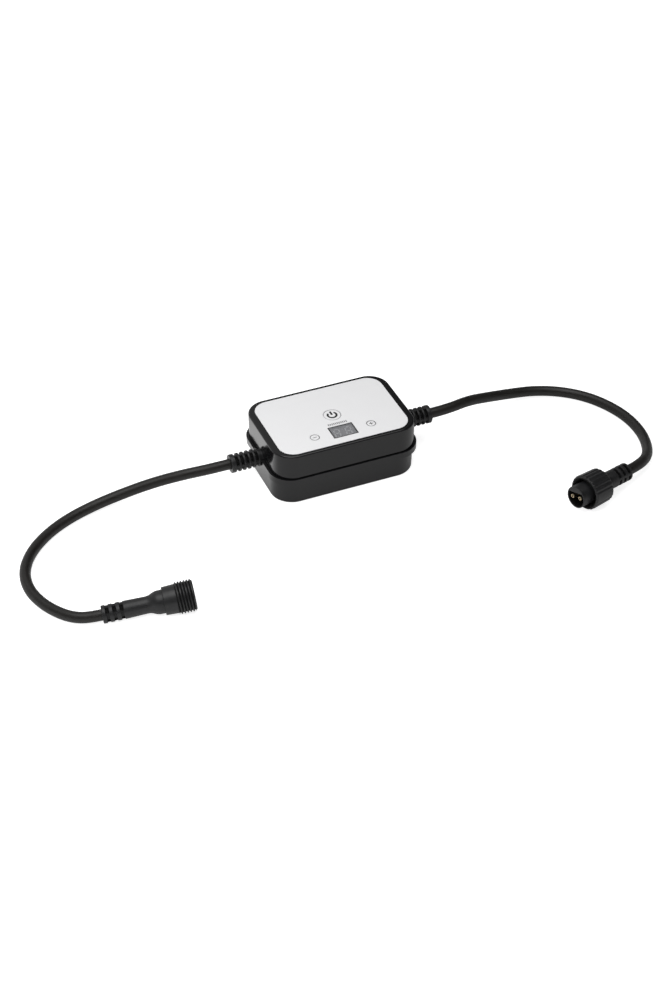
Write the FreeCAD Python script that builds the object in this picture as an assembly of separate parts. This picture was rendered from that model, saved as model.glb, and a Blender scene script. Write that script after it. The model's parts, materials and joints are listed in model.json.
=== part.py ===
import FreeCAD, Part
import math
import os

# Light dimmer: a weatherproof box with a control panel, two cables and two screw connectors.
# Millimetres. X runs along the box, from the left cable to the right one, Y runs to the back, Z up.
# The origin is under the middle of the box, on the surface that it stands on.

V = FreeCAD.Vector
ALONG_X = V(1, 0, 0)
UPWARD = V(0, 0, 1)

# How far a cutting tool passes a face, how far a post runs into what it joins, and how much of
# the shorter run each arc of a cable takes up on either side of its point
past = 1.0
bite = 0.5
arc_share = 0.45

# Control panel, let into the top of the case
panel_length = 80.0
panel_width = 54.0
panel_corner = 9.2
panel_thickness = 0.8
panel_gap = 0.1
glue_film = 0.05

# Case halves
rim_end = 4.2
rim_side = 2.5
case_corner = 12.4
case_height = 34.5
case_wall = 2.0
top_edge_round = 1.1
base_edge_round = 1.5
deck_thickness = 1.7
parting_height = 18.7
flange_height = 3.9
flange_proud_end = 1.8
flange_proud_side = 0.95
base_proud_end = 0.3
base_inset_side = 1.2
base_corner = 13.6
base_draft = 0.3
floor_thickness = 2.0
seal_height = 0.6
seal_setback = 0.9
tongue_height = 1.6
tongue_thickness = 1.0
fit_gap = 0.1

# Keys and display, measured on the panel
control_x = 0.6
power_y = 0.0
row_y = -16.3
side_key_reach = 17.6
power_key_radius = 5.3
side_key_radius = 2.85
key_gap = 0.12
key_travel = 0.4
key_well_depth = 0.6
key_well_gap = 0.4
plunger_radius = 1.7
plunger_gap = 0.2
plunger_collar = 0.9
plunger_collar_height = 0.6
window_length = 15.3
window_width = 11.0
window_frame = 0.6
window_gap = 0.05
display_gap = 0.2
display_inset = 0.5
digit_height = 7.0
digit_width = 4.0
digit_spacing = 7.0
digit_stroke = 0.9
digit_slant = 8.0
digit_film = 0.1
digit_break = 0.1

# Board and what it carries
board_drop = 5.6
board_thickness = 1.6
board_corner = 1.0
board_gap = 0.5
board_side_gap = 1.5
board_screw_inset_x = 4.0
board_screw_inset_y = 4.0
board_post_radius = 2.6
board_screw_radius = 1.1
board_screw_head = 2.1
board_screw_head_height = 1.3
board_screw_grip = 4.0
switch_side = 6.0
switch_height = 3.4
switch_button_radius = 1.75
switch_button_gap = 0.2
switch_button_proud = 1.0
switch_button_hidden = 1.0
chip_length = 9.0
chip_width = 7.0
chip_height = 1.4
chip_x = -12.0
chip_y = 9.0
transistor_length = 6.6
transistor_width = 6.2
transistor_height = 2.3
transistor_spacing = 9.0
transistor_x = 14.0
transistor_y = 10.0
capacitor_radius = 4.0
capacitor_height = 12.0
capacitor_round = 0.5
capacitor_x = 12.0
capacitor_y = -9.0
choke_radius = 5.0
choke_height = 7.0
choke_waist = 3.4
choke_rim = 1.2
choke_x = -11.0
choke_y = -8.0
terminal_radius = 1.0
terminal_height = 1.2
terminal_spacing = 5.0
terminal_inset = 3.0

# Case screws, driven from below
case_screw_inset = 9.4
case_screw_post = 3.6
case_screw_radius = 1.4
case_screw_clearance = 0.2
case_screw_head = 2.7
case_screw_head_height = 2.0
case_screw_sink = 2.8
case_screw_grip = 7.0
case_post_rise = 1.7
screw_slot_width = 0.7
screw_slot_depth = 0.8

# Cable glands
cable_diameter = 6.3
gland_axis_height = 17.6
gland_outside = 19.3
gland_radius = 5.5
gland_core = 3.8
gland_neck = 4.5
gland_bore_gap = 0.1
gland_flange_radius = 6.1
gland_flange_thickness = 1.6
gland_base_thickness = 0.8
gland_collar = 2.7
gland_rib_pitch = 3.0
gland_rib_count = 5
gland_rib = 1.2
gland_web_width = 2.0
gland_web_radius = 5.1
gland_web_turn = 0.0
tail_inside = 2.5

# Lead wires inside the box
lead_radius = 0.8
lead_spacing = 2.8
lead_run_out = 3.0
lead_drop = 2.8

# Free cables: points chosen by hand between the straight leads at the gland and the connector
gland_lead = 12.0
socket_lead = 8.0
plug_lead = 11.0
left_route = [
    (-91.5, 3.4, 15.7),
    (-108.0, 7.8, 11.8),
    (-125.0, 10.5, 7.4),
    (-142.0, 10.4, 4.3),
    (-158.5, 6.0, 3.3),
    (-173.6, -2.2, 3.2),
    (-186.6, -14.0, 3.2),
    (-194.9, -28.2, 3.2),
    (-196.8, -43.3, 3.2),
    (-193.5, -56.9, 3.2),
    (-187.9, -67.2, 3.2),
    (-181.8, -75.0, 3.7),
]
right_route = [
    (92.0, 4.9, 16.0),
    (108.0, 8.9, 11.6),
    (125.0, 12.2, 7.3),
    (141.5, 12.3, 4.9),
    (156.8, 7.2, 3.5),
    (169.4, -3.4, 3.2),
    (177.9, -17.8, 3.2),
    (182.4, -33.5, 3.2),
    (182.4, -48.8, 3.2),
    (178.3, -62.6, 4.2),
    (171.0, -75.0, 6.8),
]

# Both connectors lie on the surface, this far clear of it
rest_gap = 0.02

# Socket half: its axis runs from the cable end to the mouth
socket_place = (-166.4, -81.0)
socket_yaw = -10.3
relief_radius = 4.95
relief_core = 3.6
relief_ring = 2.2
relief_pitch = 3.9
relief_gaps = 3
relief_web_width = 4.2
relief_web_radius = 4.5
relief_web_turn = 0.0
socket_neck_end = 25.6
socket_neck_radius = 4.65
socket_swell_end = 29.4
socket_swell_radius = 6.5
socket_collar_start = 33.3
socket_collar_radius = 7.65
shell_lap = 0.3
socket_thread_length = 10.0
thread_radius = 8.8
thread_depth = 0.8
thread_pitch = 1.6
thread_land = 0.35
socket_bore_radius = 6.8
bore_end_gap = 1.3
insert_base = 0.9
post_gap = 0.15
post_setback = 0.8
contact_wall = 0.45
contact_setback = 0.5
contact_gap = 0.05

# Pin half: its axis runs from the mating face back to the cable
plug_place = (109.8, -97.9)
plug_yaw = 16.0
plug_drop = 2.0
plug_roll = -15.0
plug_length = 41.5
spigot_radius = 6.6
plug_seal_height = 1.2
plug_seal_radius = 7.3
plug_seal_groove = 0.25
recess_radius = 5.9
recess_flat = 3.0
plug_flange_radius = 7.6
plug_flange_thickness = 2.4
plug_neck_radius = 5.0
plug_body_radius = 5.4
plug_slot_first = 30.6
plug_slot_pitch = 3.75
plug_slot_width = 1.8
plug_slot_count = 3
plug_slot_core = 3.5
plug_slot_web = 1.7
plug_web_turn = 85.0
plug_end_round = 0.6
pin_spacing = 5.8
pin_radius = 1.15
pin_bore = 0.45
pin_bore_depth = 6.0
pin_setback = 0.3
pin_root = 4.0
pin_drop = 0.0
carrier_thickness = 2.0
carrier_gap = 0.1

# Union nut, captive on the pin half
nut_front = 6.9
nut_length = 14.8
nut_radius = 10.15
nut_pad_proud = 0.4
nut_pad_angle = 36.0
nut_pad_count = 6
nut_pad_phase = 54.0
nut_wall_back = 3.2
nut_hole_gap = 0.2
nut_side_gap = 0.2
nut_thread_gap = 0.2
nut_edge_round = 0.5

# Places that follow from the sizes above
case_length = panel_length + 2 * rim_end
case_width = panel_width + 2 * rim_side
top_case_bottom = parting_height + seal_height
flange_bottom = parting_height - flange_height
panel_bottom = case_height - panel_thickness
deck_bottom = panel_bottom - deck_thickness
board_top = deck_bottom - board_drop
board_bottom = board_top - board_thickness
tongue_inset = case_wall + fit_gap
upper_hollow_inset = tongue_inset + tongue_thickness
case_post_joint = parting_height + case_post_rise
flange_length = case_length + 2 * flange_proud_end
flange_width = case_width + 2 * flange_proud_side
flange_corner = case_corner + (flange_proud_end + flange_proud_side) / 2
base_length = case_length + 2 * base_proud_end
base_width = case_width - 2 * base_inset_side
base_wall = case_wall + base_draft
case_screw_x = case_length / 2 - case_screw_inset
case_screw_y = case_width / 2 - case_screw_inset
board_length = 2 * (case_screw_x - case_screw_post - board_gap)
board_width = 2 * (case_width / 2 - case_wall - tongue_thickness - board_side_gap)
board_screw_x = board_length / 2 - board_screw_inset_x
board_screw_y = board_width / 2 - board_screw_inset_y
cable_radius = cable_diameter / 2
gland_end = case_length / 2 + gland_outside
gland_wall_outer = flange_length / 2 + fit_gap
gland_wall_inner = case_length / 2 - upper_hollow_inset - fit_gap
cable_tail = gland_wall_inner - gland_flange_thickness - tail_inside
nut_back = nut_front + nut_length
plug_flange_back = nut_back - nut_wall_back - nut_side_gap
plug_flange_front = plug_flange_back - plug_flange_thickness
mating_depth = plug_flange_front - plug_seal_height
thread_root = thread_radius - thread_depth
socket_seat_radius = socket_swell_radius - shell_lap
socket_bore_start = socket_collar_start + insert_base
socket_length = socket_bore_start + mating_depth + bore_end_gap
socket_thread_start = socket_length - socket_thread_length
post_end = socket_length - post_setback
recess_depth = post_end - socket_bore_start
plug_seal_seat = spigot_radius - plug_seal_groove
collar_slope = (socket_collar_radius - relief_radius) / socket_collar_start
thread_slope = (thread_radius - relief_radius) / socket_thread_start
socket_rise = math.degrees(math.atan(max(collar_slope, thread_slope)))
socket_height = rest_gap + relief_radius * math.cos(math.radians(socket_rise))
nut_reach = (nut_radius + nut_pad_proud) * math.cos(math.radians(plug_drop))
plug_height = rest_gap + nut_reach + nut_back * math.sin(math.radians(plug_drop))

key_places = {
    "power": (control_x, power_y, power_key_radius),
    "minus": (control_x - side_key_reach, row_y, side_key_radius),
    "plus": (control_x + side_key_reach, row_y, side_key_radius),
}


def four_corners(reach_x, reach_y):
    """Four places set the same way out from the middle."""
    return [(side * reach_x, end * reach_y) for side in (-1, 1) for end in (-1, 1)]


def rounded_outline(length, width, corner, height):
    """Closed outline of a rectangle with round corners, flat at one height."""
    half_x = length / 2
    half_y = width / 2
    edges = []
    corners = ((1, 1, 0), (-1, 1, 90), (-1, -1, 180), (1, -1, 270))
    for index, (side, end, turn) in enumerate(corners):
        middle = V(side * (half_x - corner), end * (half_y - corner), height)
        spots = []
        for step in (0, 45, 90):
            angle = math.radians(turn + step)
            spots.append(middle + V(math.cos(angle), math.sin(angle), 0) * corner)
        if index:
            edges.append(Part.LineSegment(last, spots[0]).toShape())
        else:
            first = spots[0]
        edges.append(Part.Arc(*spots).toShape())
        last = spots[2]
    edges.append(Part.LineSegment(last, first).toShape())
    return Part.Wire(edges)


def rounded_block(length, width, corner, low, high):
    """Upright block with round corners."""
    face = Part.Face(rounded_outline(length, width, corner, low))
    return face.extrude(V(0, 0, high - low))


def box_between(low, high):
    """Box from its lowest corner to its highest."""
    size = [b - a for a, b in zip(low, high)]
    return Part.makeBox(size[0], size[1], size[2], V(*low))


def upright(radius, low, high, place=(0.0, 0.0)):
    """Upright cylinder between two heights."""
    return Part.makeCylinder(radius, high - low, V(place[0], place[1], low), UPWARD)


def lying(radius, start, end, centre=(0.0, 0.0)):
    """Cylinder along X between two stations, about a line at the given Y and Z."""
    return Part.makeCylinder(radius, end - start, V(start, centre[0], centre[1]), ALONG_X)


def turned(profile):
    """Solid turned about X from the stations and radii of its outline."""
    spots = [V(station, 0, radius) for station, radius in profile]
    face = Part.Face(Part.makePolygon(spots + [spots[0]]))
    return face.revolve(V(0, 0, 0), ALONG_X, 360)


def fuse(shapes):
    """One solid from shapes that touch or overlap."""
    whole = shapes[0].fuse(shapes[1:])
    return whole.removeSplitter()


def cut(shape, tools):
    """A shape less its tools."""
    return shape.cut(Part.makeCompound(tools)) if tools else shape


def round_edges(shape, radius, chosen):
    """Fillet the edges that a test picks."""
    edges = [edge for edge in shape.Edges if chosen(edge)]
    return shape.makeFillet(radius, edges)


def at_height(edge, height):
    """True for an edge that lies flat at one height."""
    box = edge.BoundBox
    return abs(box.ZMin - height) < 1e-4 and abs(box.ZMax - height) < 1e-4


def at_station(edge, station):
    """True for an edge that lies square to X at one station."""
    box = edge.BoundBox
    return abs(box.XMin - station) < 1e-4 and abs(box.XMax - station) < 1e-4


def mirrored_ends(shape):
    """The same shape at the other end of the box."""
    return shape.mirror(V(0, 0, 0), ALONG_X)


def slotted_gaps(outer, core, starts, width, web_radius, web_width, web_turn):
    """Rings to cut away between ribs, broken by four webs that run along the axis."""
    rings = []
    webs = []
    reach = outer + past
    for start in starts:
        ring = lying(reach, start, start + width).cut(lying(core, start - past, start + width + past))
        rings.append(ring)
    low = min(starts) - past
    high = max(starts) + width + past
    for quarter in range(4):
        slab = box_between((low, -web_width / 2, 0), (high, web_width / 2, reach))
        slab.rotate(V(0, 0, 0), ALONG_X, web_turn + 90 * quarter)
        webs.append(slab)
    kept = fuse(webs).common(lying(web_radius, low, high))
    return [ring.cut(kept) for ring in rings]


def rounded_path(points):
    """Straight runs joined by tangent arcs, and the radius of each arc."""
    spots = [V(*point) for point in points]
    edges = []
    radii = []
    last = spots[0]
    for before, here, after in zip(spots, spots[1:], spots[2:]):
        run_in = here - before
        run_out = after - here
        shorter = min(run_in.Length, run_out.Length)
        turn = run_in.getAngle(run_out)
        radius = arc_share * shorter / math.tan(turn / 2)
        heading_in = run_in.normalize()
        heading_out = run_out.normalize()
        start = here - heading_in * (arc_share * shorter)
        end = here + heading_out * (arc_share * shorter)
        inward = (heading_out - heading_in).normalize()
        crown = here + inward * (radius / math.cos(turn / 2) - radius)
        edges.append(Part.LineSegment(last, start).toShape())
        edges.append(Part.Arc(start, crown, end).toShape())
        radii.append(radius)
        last = end
    edges.append(Part.LineSegment(last, spots[-1]).toShape())
    return Part.Wire(edges), radii


def tube_along(points, radius):
    """Round tube along a route, with its path and the radii of its arcs."""
    path, radii = rounded_path(points)
    heading = V(*points[1]) - V(*points[0])
    profile = Part.Wire([Part.Circle(V(*points[0]), heading, radius).toShape()])
    return path.makePipeShell([profile], True, False), path, radii


def gland_passages():
    """Round holes through the end walls for both glands' necks."""
    reach = gland_wall_inner - gland_flange_thickness
    passage = lying(gland_neck + fit_gap, reach, gland_wall_outer + past, (0, gland_axis_height))
    return [passage, mirrored_ends(passage)]


def make_top_case():
    """Upper half: walls, deck with its openings, and the posts under the deck."""
    shell = rounded_block(case_length, case_width, case_corner, top_case_bottom, case_height)
    shell = round_edges(shell, top_edge_round, lambda edge: at_height(edge, case_height))
    inner_corner = case_corner - case_wall
    hollow = rounded_block(case_length - 2 * case_wall, case_width - 2 * case_wall, inner_corner,
                           top_case_bottom - past, deck_bottom)
    seat = rounded_block(panel_length + 2 * panel_gap, panel_width + 2 * panel_gap,
                         panel_corner + panel_gap, panel_bottom, case_height + past)
    shell = cut(shell, [hollow, seat])
    posts = []
    holes = []
    for place in four_corners(case_screw_x, case_screw_y):
        posts.append(upright(case_screw_post, case_post_joint, deck_bottom + bite, place))
        top = case_post_joint + case_screw_grip + past
        holes.append(upright(case_screw_radius + fit_gap, case_post_joint - past, top, place))
    for place in four_corners(board_screw_x, board_screw_y):
        posts.append(upright(board_post_radius, board_top, deck_bottom + bite, place))
        top = board_top + board_screw_grip + bite
        holes.append(upright(board_screw_radius + fit_gap, board_top - past, top, place))
    for x, y, radius in key_places.values():
        place = (x, y)
        holes.append(upright(plunger_radius + plunger_gap, deck_bottom - past, case_height, place))
        well = upright(radius + key_well_gap, panel_bottom - key_well_depth, case_height, place)
        holes.append(well)
    half_x = window_length / 2 - display_inset + display_gap
    half_y = window_width / 2 - display_inset + display_gap
    holes.append(box_between((control_x - half_x, row_y - half_y, deck_bottom - past),
                             (control_x + half_x, row_y + half_y, case_height)))
    return cut(fuse([shell] + posts), holes + gland_passages())


def make_bottom_case():
    """Lower half: tapered tub, proud flange, tongue, and the columns for the case screws."""
    foot = rounded_outline(base_length - 2 * base_draft, base_width - 2 * base_draft,
                           base_corner - base_draft, 0)
    brow = rounded_outline(base_length, base_width, base_corner, flange_bottom)
    tub = Part.makeLoft([foot, brow], True, True)
    tub = round_edges(tub, base_edge_round, lambda edge: at_height(edge, 0))
    flange = rounded_block(flange_length, flange_width, flange_corner, flange_bottom,
                           parting_height)
    tongue = rounded_block(case_length - 2 * tongue_inset, case_width - 2 * tongue_inset,
                           case_corner - tongue_inset, parting_height - past,
                           parting_height + tongue_height)
    lower_hollow = rounded_block(base_length - 2 * base_wall, base_width - 2 * base_wall,
                                 base_corner - base_wall, floor_thickness, flange_bottom)
    upper_hollow = rounded_block(case_length - 2 * upper_hollow_inset,
                                 case_width - 2 * upper_hollow_inset,
                                 case_corner - upper_hollow_inset, flange_bottom - past,
                                 parting_height + tongue_height + past)
    tub = cut(fuse([tub, flange, tongue]), [lower_hollow, upper_hollow])
    posts = []
    holes = []
    for place in four_corners(case_screw_x, case_screw_y):
        posts.append(upright(case_screw_post, floor_thickness - bite, case_post_joint, place))
        shank = case_screw_radius + case_screw_clearance
        holes.append(upright(shank, -past, case_post_joint + past, place))
        head = case_screw_head + case_screw_clearance
        holes.append(upright(head, -past, case_screw_sink, place))
    return cut(fuse([tub] + posts), holes + gland_passages())


def make_case_seal():
    """Flat ring between the halves, set back so that the parting line stays a dark groove."""
    outer = rounded_block(case_length - 2 * seal_setback, case_width - 2 * seal_setback,
                          case_corner - seal_setback, parting_height, top_case_bottom)
    inset = tongue_inset - fit_gap
    inner = rounded_block(case_length - 2 * inset, case_width - 2 * inset, case_corner - inset,
                          parting_height - past, top_case_bottom + past)
    return cut(outer, [inner] + gland_passages())


def make_screws(places, radius, head_radius, head_height, seat, tip):
    """Cheese-head screws that point up, with a slot across each head."""
    screws = []
    for x, y in places:
        head = upright(head_radius, seat - head_height, seat, (x, y))
        shank = upright(radius, seat - 0.1, tip, (x, y))
        slot = box_between((x - head_radius, y - screw_slot_width / 2, seat - head_height),
                           (x + head_radius, y + screw_slot_width / 2,
                            seat - head_height + screw_slot_depth))
        screws.append(cut(fuse([head, shank]), [slot]))
    return Part.makeCompound(screws)


def make_face_panel():
    """Pale panel with an opening for each key and for the display window."""
    low = panel_bottom + glue_film
    panel = rounded_block(panel_length, panel_width, panel_corner, low, case_height)
    holes = []
    for x, y, radius in key_places.values():
        holes.append(upright(radius + key_gap, low - past, case_height + past, (x, y)))
    half_x = window_length / 2
    half_y = window_width / 2
    holes.append(box_between((control_x - half_x, row_y - half_y, low - past),
                             (control_x + half_x, row_y + half_y, case_height + past)))
    return cut(panel, holes)


def window_block(inset, low, high):
    """Block in the window's opening, set in from its edge."""
    half_x = window_length / 2 - inset
    half_y = window_width / 2 - inset
    return box_between((control_x - half_x, row_y - half_y, low),
                       (control_x + half_x, row_y + half_y, high))


def make_window_frame():
    """Dark frame round the display window."""
    low = panel_bottom + glue_film
    return window_block(window_gap, low, case_height).cut(
        window_block(window_frame, low - past, case_height + past))


def make_window():
    """Clear smoked window inside the frame."""
    return window_block(window_frame + window_gap, panel_bottom + glue_film, case_height)


def make_key(name):
    """Round key, level with the panel, that sinks into a well in the deck."""
    x, y, radius = key_places[name]
    return upright(radius, panel_bottom + glue_film, case_height, (x, y))


def make_plunger(name):
    """Plunger from the key down to the switch, with a collar that keeps it under the deck."""
    place = key_places[name][:2]
    stem = upright(plunger_radius, board_top + switch_height + switch_button_proud,
                   panel_bottom + glue_film, place)
    collar_top = deck_bottom - fit_gap
    collar = upright(plunger_radius + plunger_collar, collar_top - plunger_collar_height,
                     collar_top, place)
    return fuse([stem, collar])


def make_switch_bodies():
    """Three push switches on the board, one under each key."""
    bodies = []
    for x, y, radius in key_places.values():
        half = switch_side / 2
        body = box_between((x - half, y - half, board_top),
                           (x + half, y + half, board_top + switch_height))
        well_bottom = board_top + switch_height - switch_button_hidden - 2 * key_travel
        well = upright(switch_button_radius + switch_button_gap, well_bottom,
                       board_top + switch_height + past, (x, y))
        bodies.append(body.cut(well))
    return Part.makeCompound(bodies)


def make_switch_button(name):
    """The small button of one push switch."""
    return upright(switch_button_radius, board_top + switch_height - switch_button_hidden,
                   board_top + switch_height + switch_button_proud, key_places[name][:2])


def make_display_module():
    """Two-digit display block that stands on the board and reaches up to the window."""
    top = panel_bottom - display_gap - digit_film
    return window_block(display_inset, board_top, top)


def make_display_digits():
    """The seven bars of each digit, thin and raised on the block's face."""
    low = panel_bottom - display_gap - digit_film
    slant = math.tan(math.radians(digit_slant))
    half = digit_height / 4
    long_bar = digit_width / 2 - digit_stroke / 2
    bars = []
    for side in (-0.5, 0.5):
        middle = V(control_x + side * digit_spacing, row_y, low)
        for row in (-2, 0, 2):
            bars.append((middle, 0.0, row * half, long_bar - digit_stroke / 2, digit_stroke / 2))
        for column in (-1, 1):
            for row in (-1, 1):
                reach = half - digit_stroke / 2 - digit_break
                bars.append((middle, column * long_bar, row * half, digit_stroke / 2, reach))
    solids = []
    for middle, x, y, half_x, half_y in bars:
        spots = []
        for side, end in ((-1, -1), (1, -1), (1, 1), (-1, 1)):
            spot_y = y + end * half_y
            spots.append(middle + V(x + side * half_x + spot_y * slant, spot_y, 0))
        face = Part.Face(Part.makePolygon(spots + [spots[0]]))
        solids.append(face.extrude(V(0, 0, digit_film)))
    return Part.makeCompound(solids)


def make_main_board():
    """Board under the deck, with a hole for each of its screws."""
    board = rounded_block(board_length, board_width, board_corner, board_bottom, board_top)
    holes = []
    for place in four_corners(board_screw_x, board_screw_y):
        holes.append(upright(board_screw_radius + case_screw_clearance, board_bottom - past,
                             board_top + past, place))
    return cut(board, holes)


def make_controller_chip():
    """Flat controller under the board."""
    return box_between((chip_x - chip_length / 2, chip_y - chip_width / 2,
                        board_bottom - chip_height),
                       (chip_x + chip_length / 2, chip_y + chip_width / 2, board_bottom))


def make_power_transistors():
    """The two transistors that switch the load."""
    bodies = []
    for side in (-0.5, 0.5):
        x = transistor_x + side * transistor_spacing
        bodies.append(box_between((x - transistor_length / 2, transistor_y - transistor_width / 2,
                                   board_bottom - transistor_height),
                                  (x + transistor_length / 2, transistor_y + transistor_width / 2,
                                   board_bottom)))
    return Part.makeCompound(bodies)


def make_smoothing_capacitor():
    """Round capacitor that hangs from the board."""
    can = upright(capacitor_radius, board_bottom - capacitor_height, board_bottom,
                  (capacitor_x, capacitor_y))
    return round_edges(can, capacitor_round,
                       lambda edge: at_height(edge, board_bottom - capacitor_height))


def make_choke():
    """Drum-shaped choke: two rims and a narrower wound waist."""
    place = (choke_x, choke_y)
    low = board_bottom - choke_height
    return fuse([upright(choke_radius, low, low + choke_rim, place),
                 upright(choke_waist, low, board_bottom, place),
                 upright(choke_radius, board_bottom - choke_rim, board_bottom, place)])


def terminal_places():
    """Where each lead is soldered: the end, its side and the place."""
    return [(end, side, (end * (board_length / 2 - terminal_inset), side * terminal_spacing / 2))
            for end in (-1, 1) for side in (-1, 1)]


def make_board_terminals():
    """Four solder posts under the board."""
    return Part.makeCompound([upright(terminal_radius, board_bottom - terminal_height,
                                      board_bottom, place) for _, _, place in terminal_places()])


def make_gland():
    """Right-hand gland: flange inside the wall, neck, base disc, ribs on a core, end collar."""
    wall_flange_start = gland_wall_inner - gland_flange_thickness
    sleeve = lying(gland_radius, gland_wall_outer, gland_end)
    base_end = gland_wall_outer + gland_base_thickness
    first = gland_end - gland_collar - gland_rib_pitch + gland_rib
    starts = [first - step * gland_rib_pitch for step in range(gland_rib_count)]
    starts = [start for start in starts if start > base_end]
    gaps = slotted_gaps(gland_radius, gland_core, starts, gland_rib_pitch - gland_rib,
                        gland_web_radius, gland_web_width, gland_web_turn)
    sleeve = cut(sleeve, gaps)
    last_gap = starts[-1] - gland_rib
    if last_gap > base_end:
        sleeve = cut(sleeve, slotted_gaps(gland_radius, gland_core, [base_end],
                                          last_gap - base_end, gland_web_radius,
                                          gland_web_width, gland_web_turn))
    neck = lying(gland_neck, wall_flange_start, gland_wall_outer + bite)
    inner = lying(gland_flange_radius, wall_flange_start, gland_wall_inner)
    bore = lying(cable_radius + gland_bore_gap, wall_flange_start - past, gland_end + past)
    gland = fuse([sleeve, neck, inner]).cut(bore)
    gland.translate(V(0, 0, gland_axis_height))
    return gland


def make_cable_tail():
    """Right-hand end of a cable, through the gland and into the box."""
    return lying(cable_radius, cable_tail, gland_end, (0, gland_axis_height))


def make_leads(end):
    """The two lead wires from a cable's end up to the solder posts."""
    wires = []
    for this_end, side, place in terminal_places():
        if this_end != end:
            continue
        start = end * cable_tail
        beside = side * lead_spacing / 2
        points = [
            (start, beside, gland_axis_height),
            (start - end * lead_run_out, beside, gland_axis_height),
            (place[0], place[1], board_bottom - terminal_height - lead_drop),
            (place[0], place[1], board_bottom - terminal_height),
        ]
        wires.append(tube_along(points, lead_radius)[0])
    return Part.makeCompound(wires)


def gland_points(end):
    """Start of a free cable: the gland's mouth, and a point straight out of it."""
    return [(end * (gland_end + step), 0.0, gland_axis_height) for step in (0.0, gland_lead)]


def connector_points(placement, station, lead):
    """End of a free cable: a point on the connector's own axis, and the connector's end."""
    return [tuple(placement.multVec(V(station + step, 0, 0))) for step in (lead, 0)]


def make_free_cable(name, points):
    """Free cable from the gland to its connector, with its sizes printed."""
    tube, path, radii = tube_along(points, cable_radius)
    section = math.pi * cable_radius ** 2
    print(name, "length", round(path.Length, 1), "mm, radii",
          " ".join(str(round(radius)) for radius in radii))
    print(name, "volume", round(tube.Volume), "section x length", round(section * path.Length))
    return tube


def socket_placement():
    """Turns the socket's own axis, along X, to where it lies on the surface."""
    turn = FreeCAD.Rotation(UPWARD, socket_yaw).multiply(FreeCAD.Rotation(V(0, 1, 0), -socket_rise))
    return FreeCAD.Placement(V(*socket_place, socket_height), turn)


def plug_placement():
    """Turns the pin half's own axis, along X, to where it lies on the surface."""
    turn = FreeCAD.Rotation(UPWARD, plug_yaw).multiply(FreeCAD.Rotation(V(0, 1, 0), plug_drop))
    turn = turn.multiply(FreeCAD.Rotation(ALONG_X, plug_roll))
    return FreeCAD.Placement(V(*plug_place, plug_height), turn)


def placed(shape, placement):
    """A copy of a shape in its final place."""
    moved = shape.copy()
    moved.Placement = placement
    return moved


def thread_profile(start, end, root, crest):
    """Stations and radii of a threaded stretch, from its start to its end."""
    profile = [(start, root)]
    flank = (thread_pitch - 2 * thread_land) / 2
    turns = int((end - start) / thread_pitch)
    for turn in range(turns):
        foot = start + turn * thread_pitch
        profile.append((foot + thread_land / 2, root))
        profile.append((foot + thread_land / 2 + flank, crest))
        profile.append((foot + thread_land * 1.5 + flank, crest))
        profile.append((foot + thread_land * 1.5 + 2 * flank, root))
    profile.append((end, root))
    return profile


def make_socket_body():
    """Overmoulded body of the socket half: ringed relief, neck and swell."""
    relief_end = relief_gaps * relief_pitch
    body = turned([
        (0, 0),
        (0, relief_radius),
        (relief_end, relief_radius),
        (socket_neck_end, socket_neck_radius),
        (socket_swell_end, socket_swell_radius),
        (socket_collar_start, socket_swell_radius),
        (socket_collar_start, 0),
    ])
    starts = [relief_ring + step * relief_pitch for step in range(relief_gaps)]
    gaps = slotted_gaps(relief_radius, relief_core, starts, relief_pitch - relief_ring,
                        relief_web_radius, relief_web_width, relief_web_turn)
    return cut(body, gaps)


def make_socket_shell():
    """Back wall, collar that flares to the thread, outside thread and bore."""
    profile = [(socket_collar_start, socket_seat_radius),
               (socket_collar_start, socket_collar_radius)]
    profile += thread_profile(socket_thread_start, socket_length, thread_root, thread_radius)
    profile += [(socket_length, socket_bore_radius),
                (socket_bore_start, socket_bore_radius),
                (socket_bore_start, socket_seat_radius)]
    return turned(profile)


def flatted_rod(radius, flat, start, end):
    """Rod along X with one flat on top."""
    rod = lying(radius, start, end)
    top = box_between((start - past, -radius - past, flat),
                      (end + past, radius + past, radius + past))
    return rod.cut(top)


def pin_sides():
    """Y of each pin or contact."""
    return (-pin_spacing / 2, pin_spacing / 2)


def make_socket_insert():
    """Base in the back wall, and a post with one flat, bored for the two contacts."""
    base = lying(socket_seat_radius - contact_gap, socket_collar_start, socket_bore_start)
    post = flatted_rod(recess_radius - post_gap, recess_flat - post_gap, socket_collar_start,
                       post_end)
    hole = pin_radius + contact_wall + contact_gap
    holes = [lying(hole, socket_collar_start - past, post_end + past, (side, -pin_drop))
             for side in pin_sides()]
    return cut(fuse([base, post]), holes)


def make_socket_contacts():
    """Two sleeve contacts inside the post, deep enough for the pins."""
    end = post_end - contact_setback
    depth = recess_depth - pin_setback
    sleeves = []
    for side in pin_sides():
        outer = lying(pin_radius + contact_wall, socket_collar_start, end, (side, -pin_drop))
        bore = lying(pin_radius + contact_gap, end - depth, end + past, (side, -pin_drop))
        sleeves.append(outer.cut(bore))
    return Part.makeCompound(sleeves)


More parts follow.
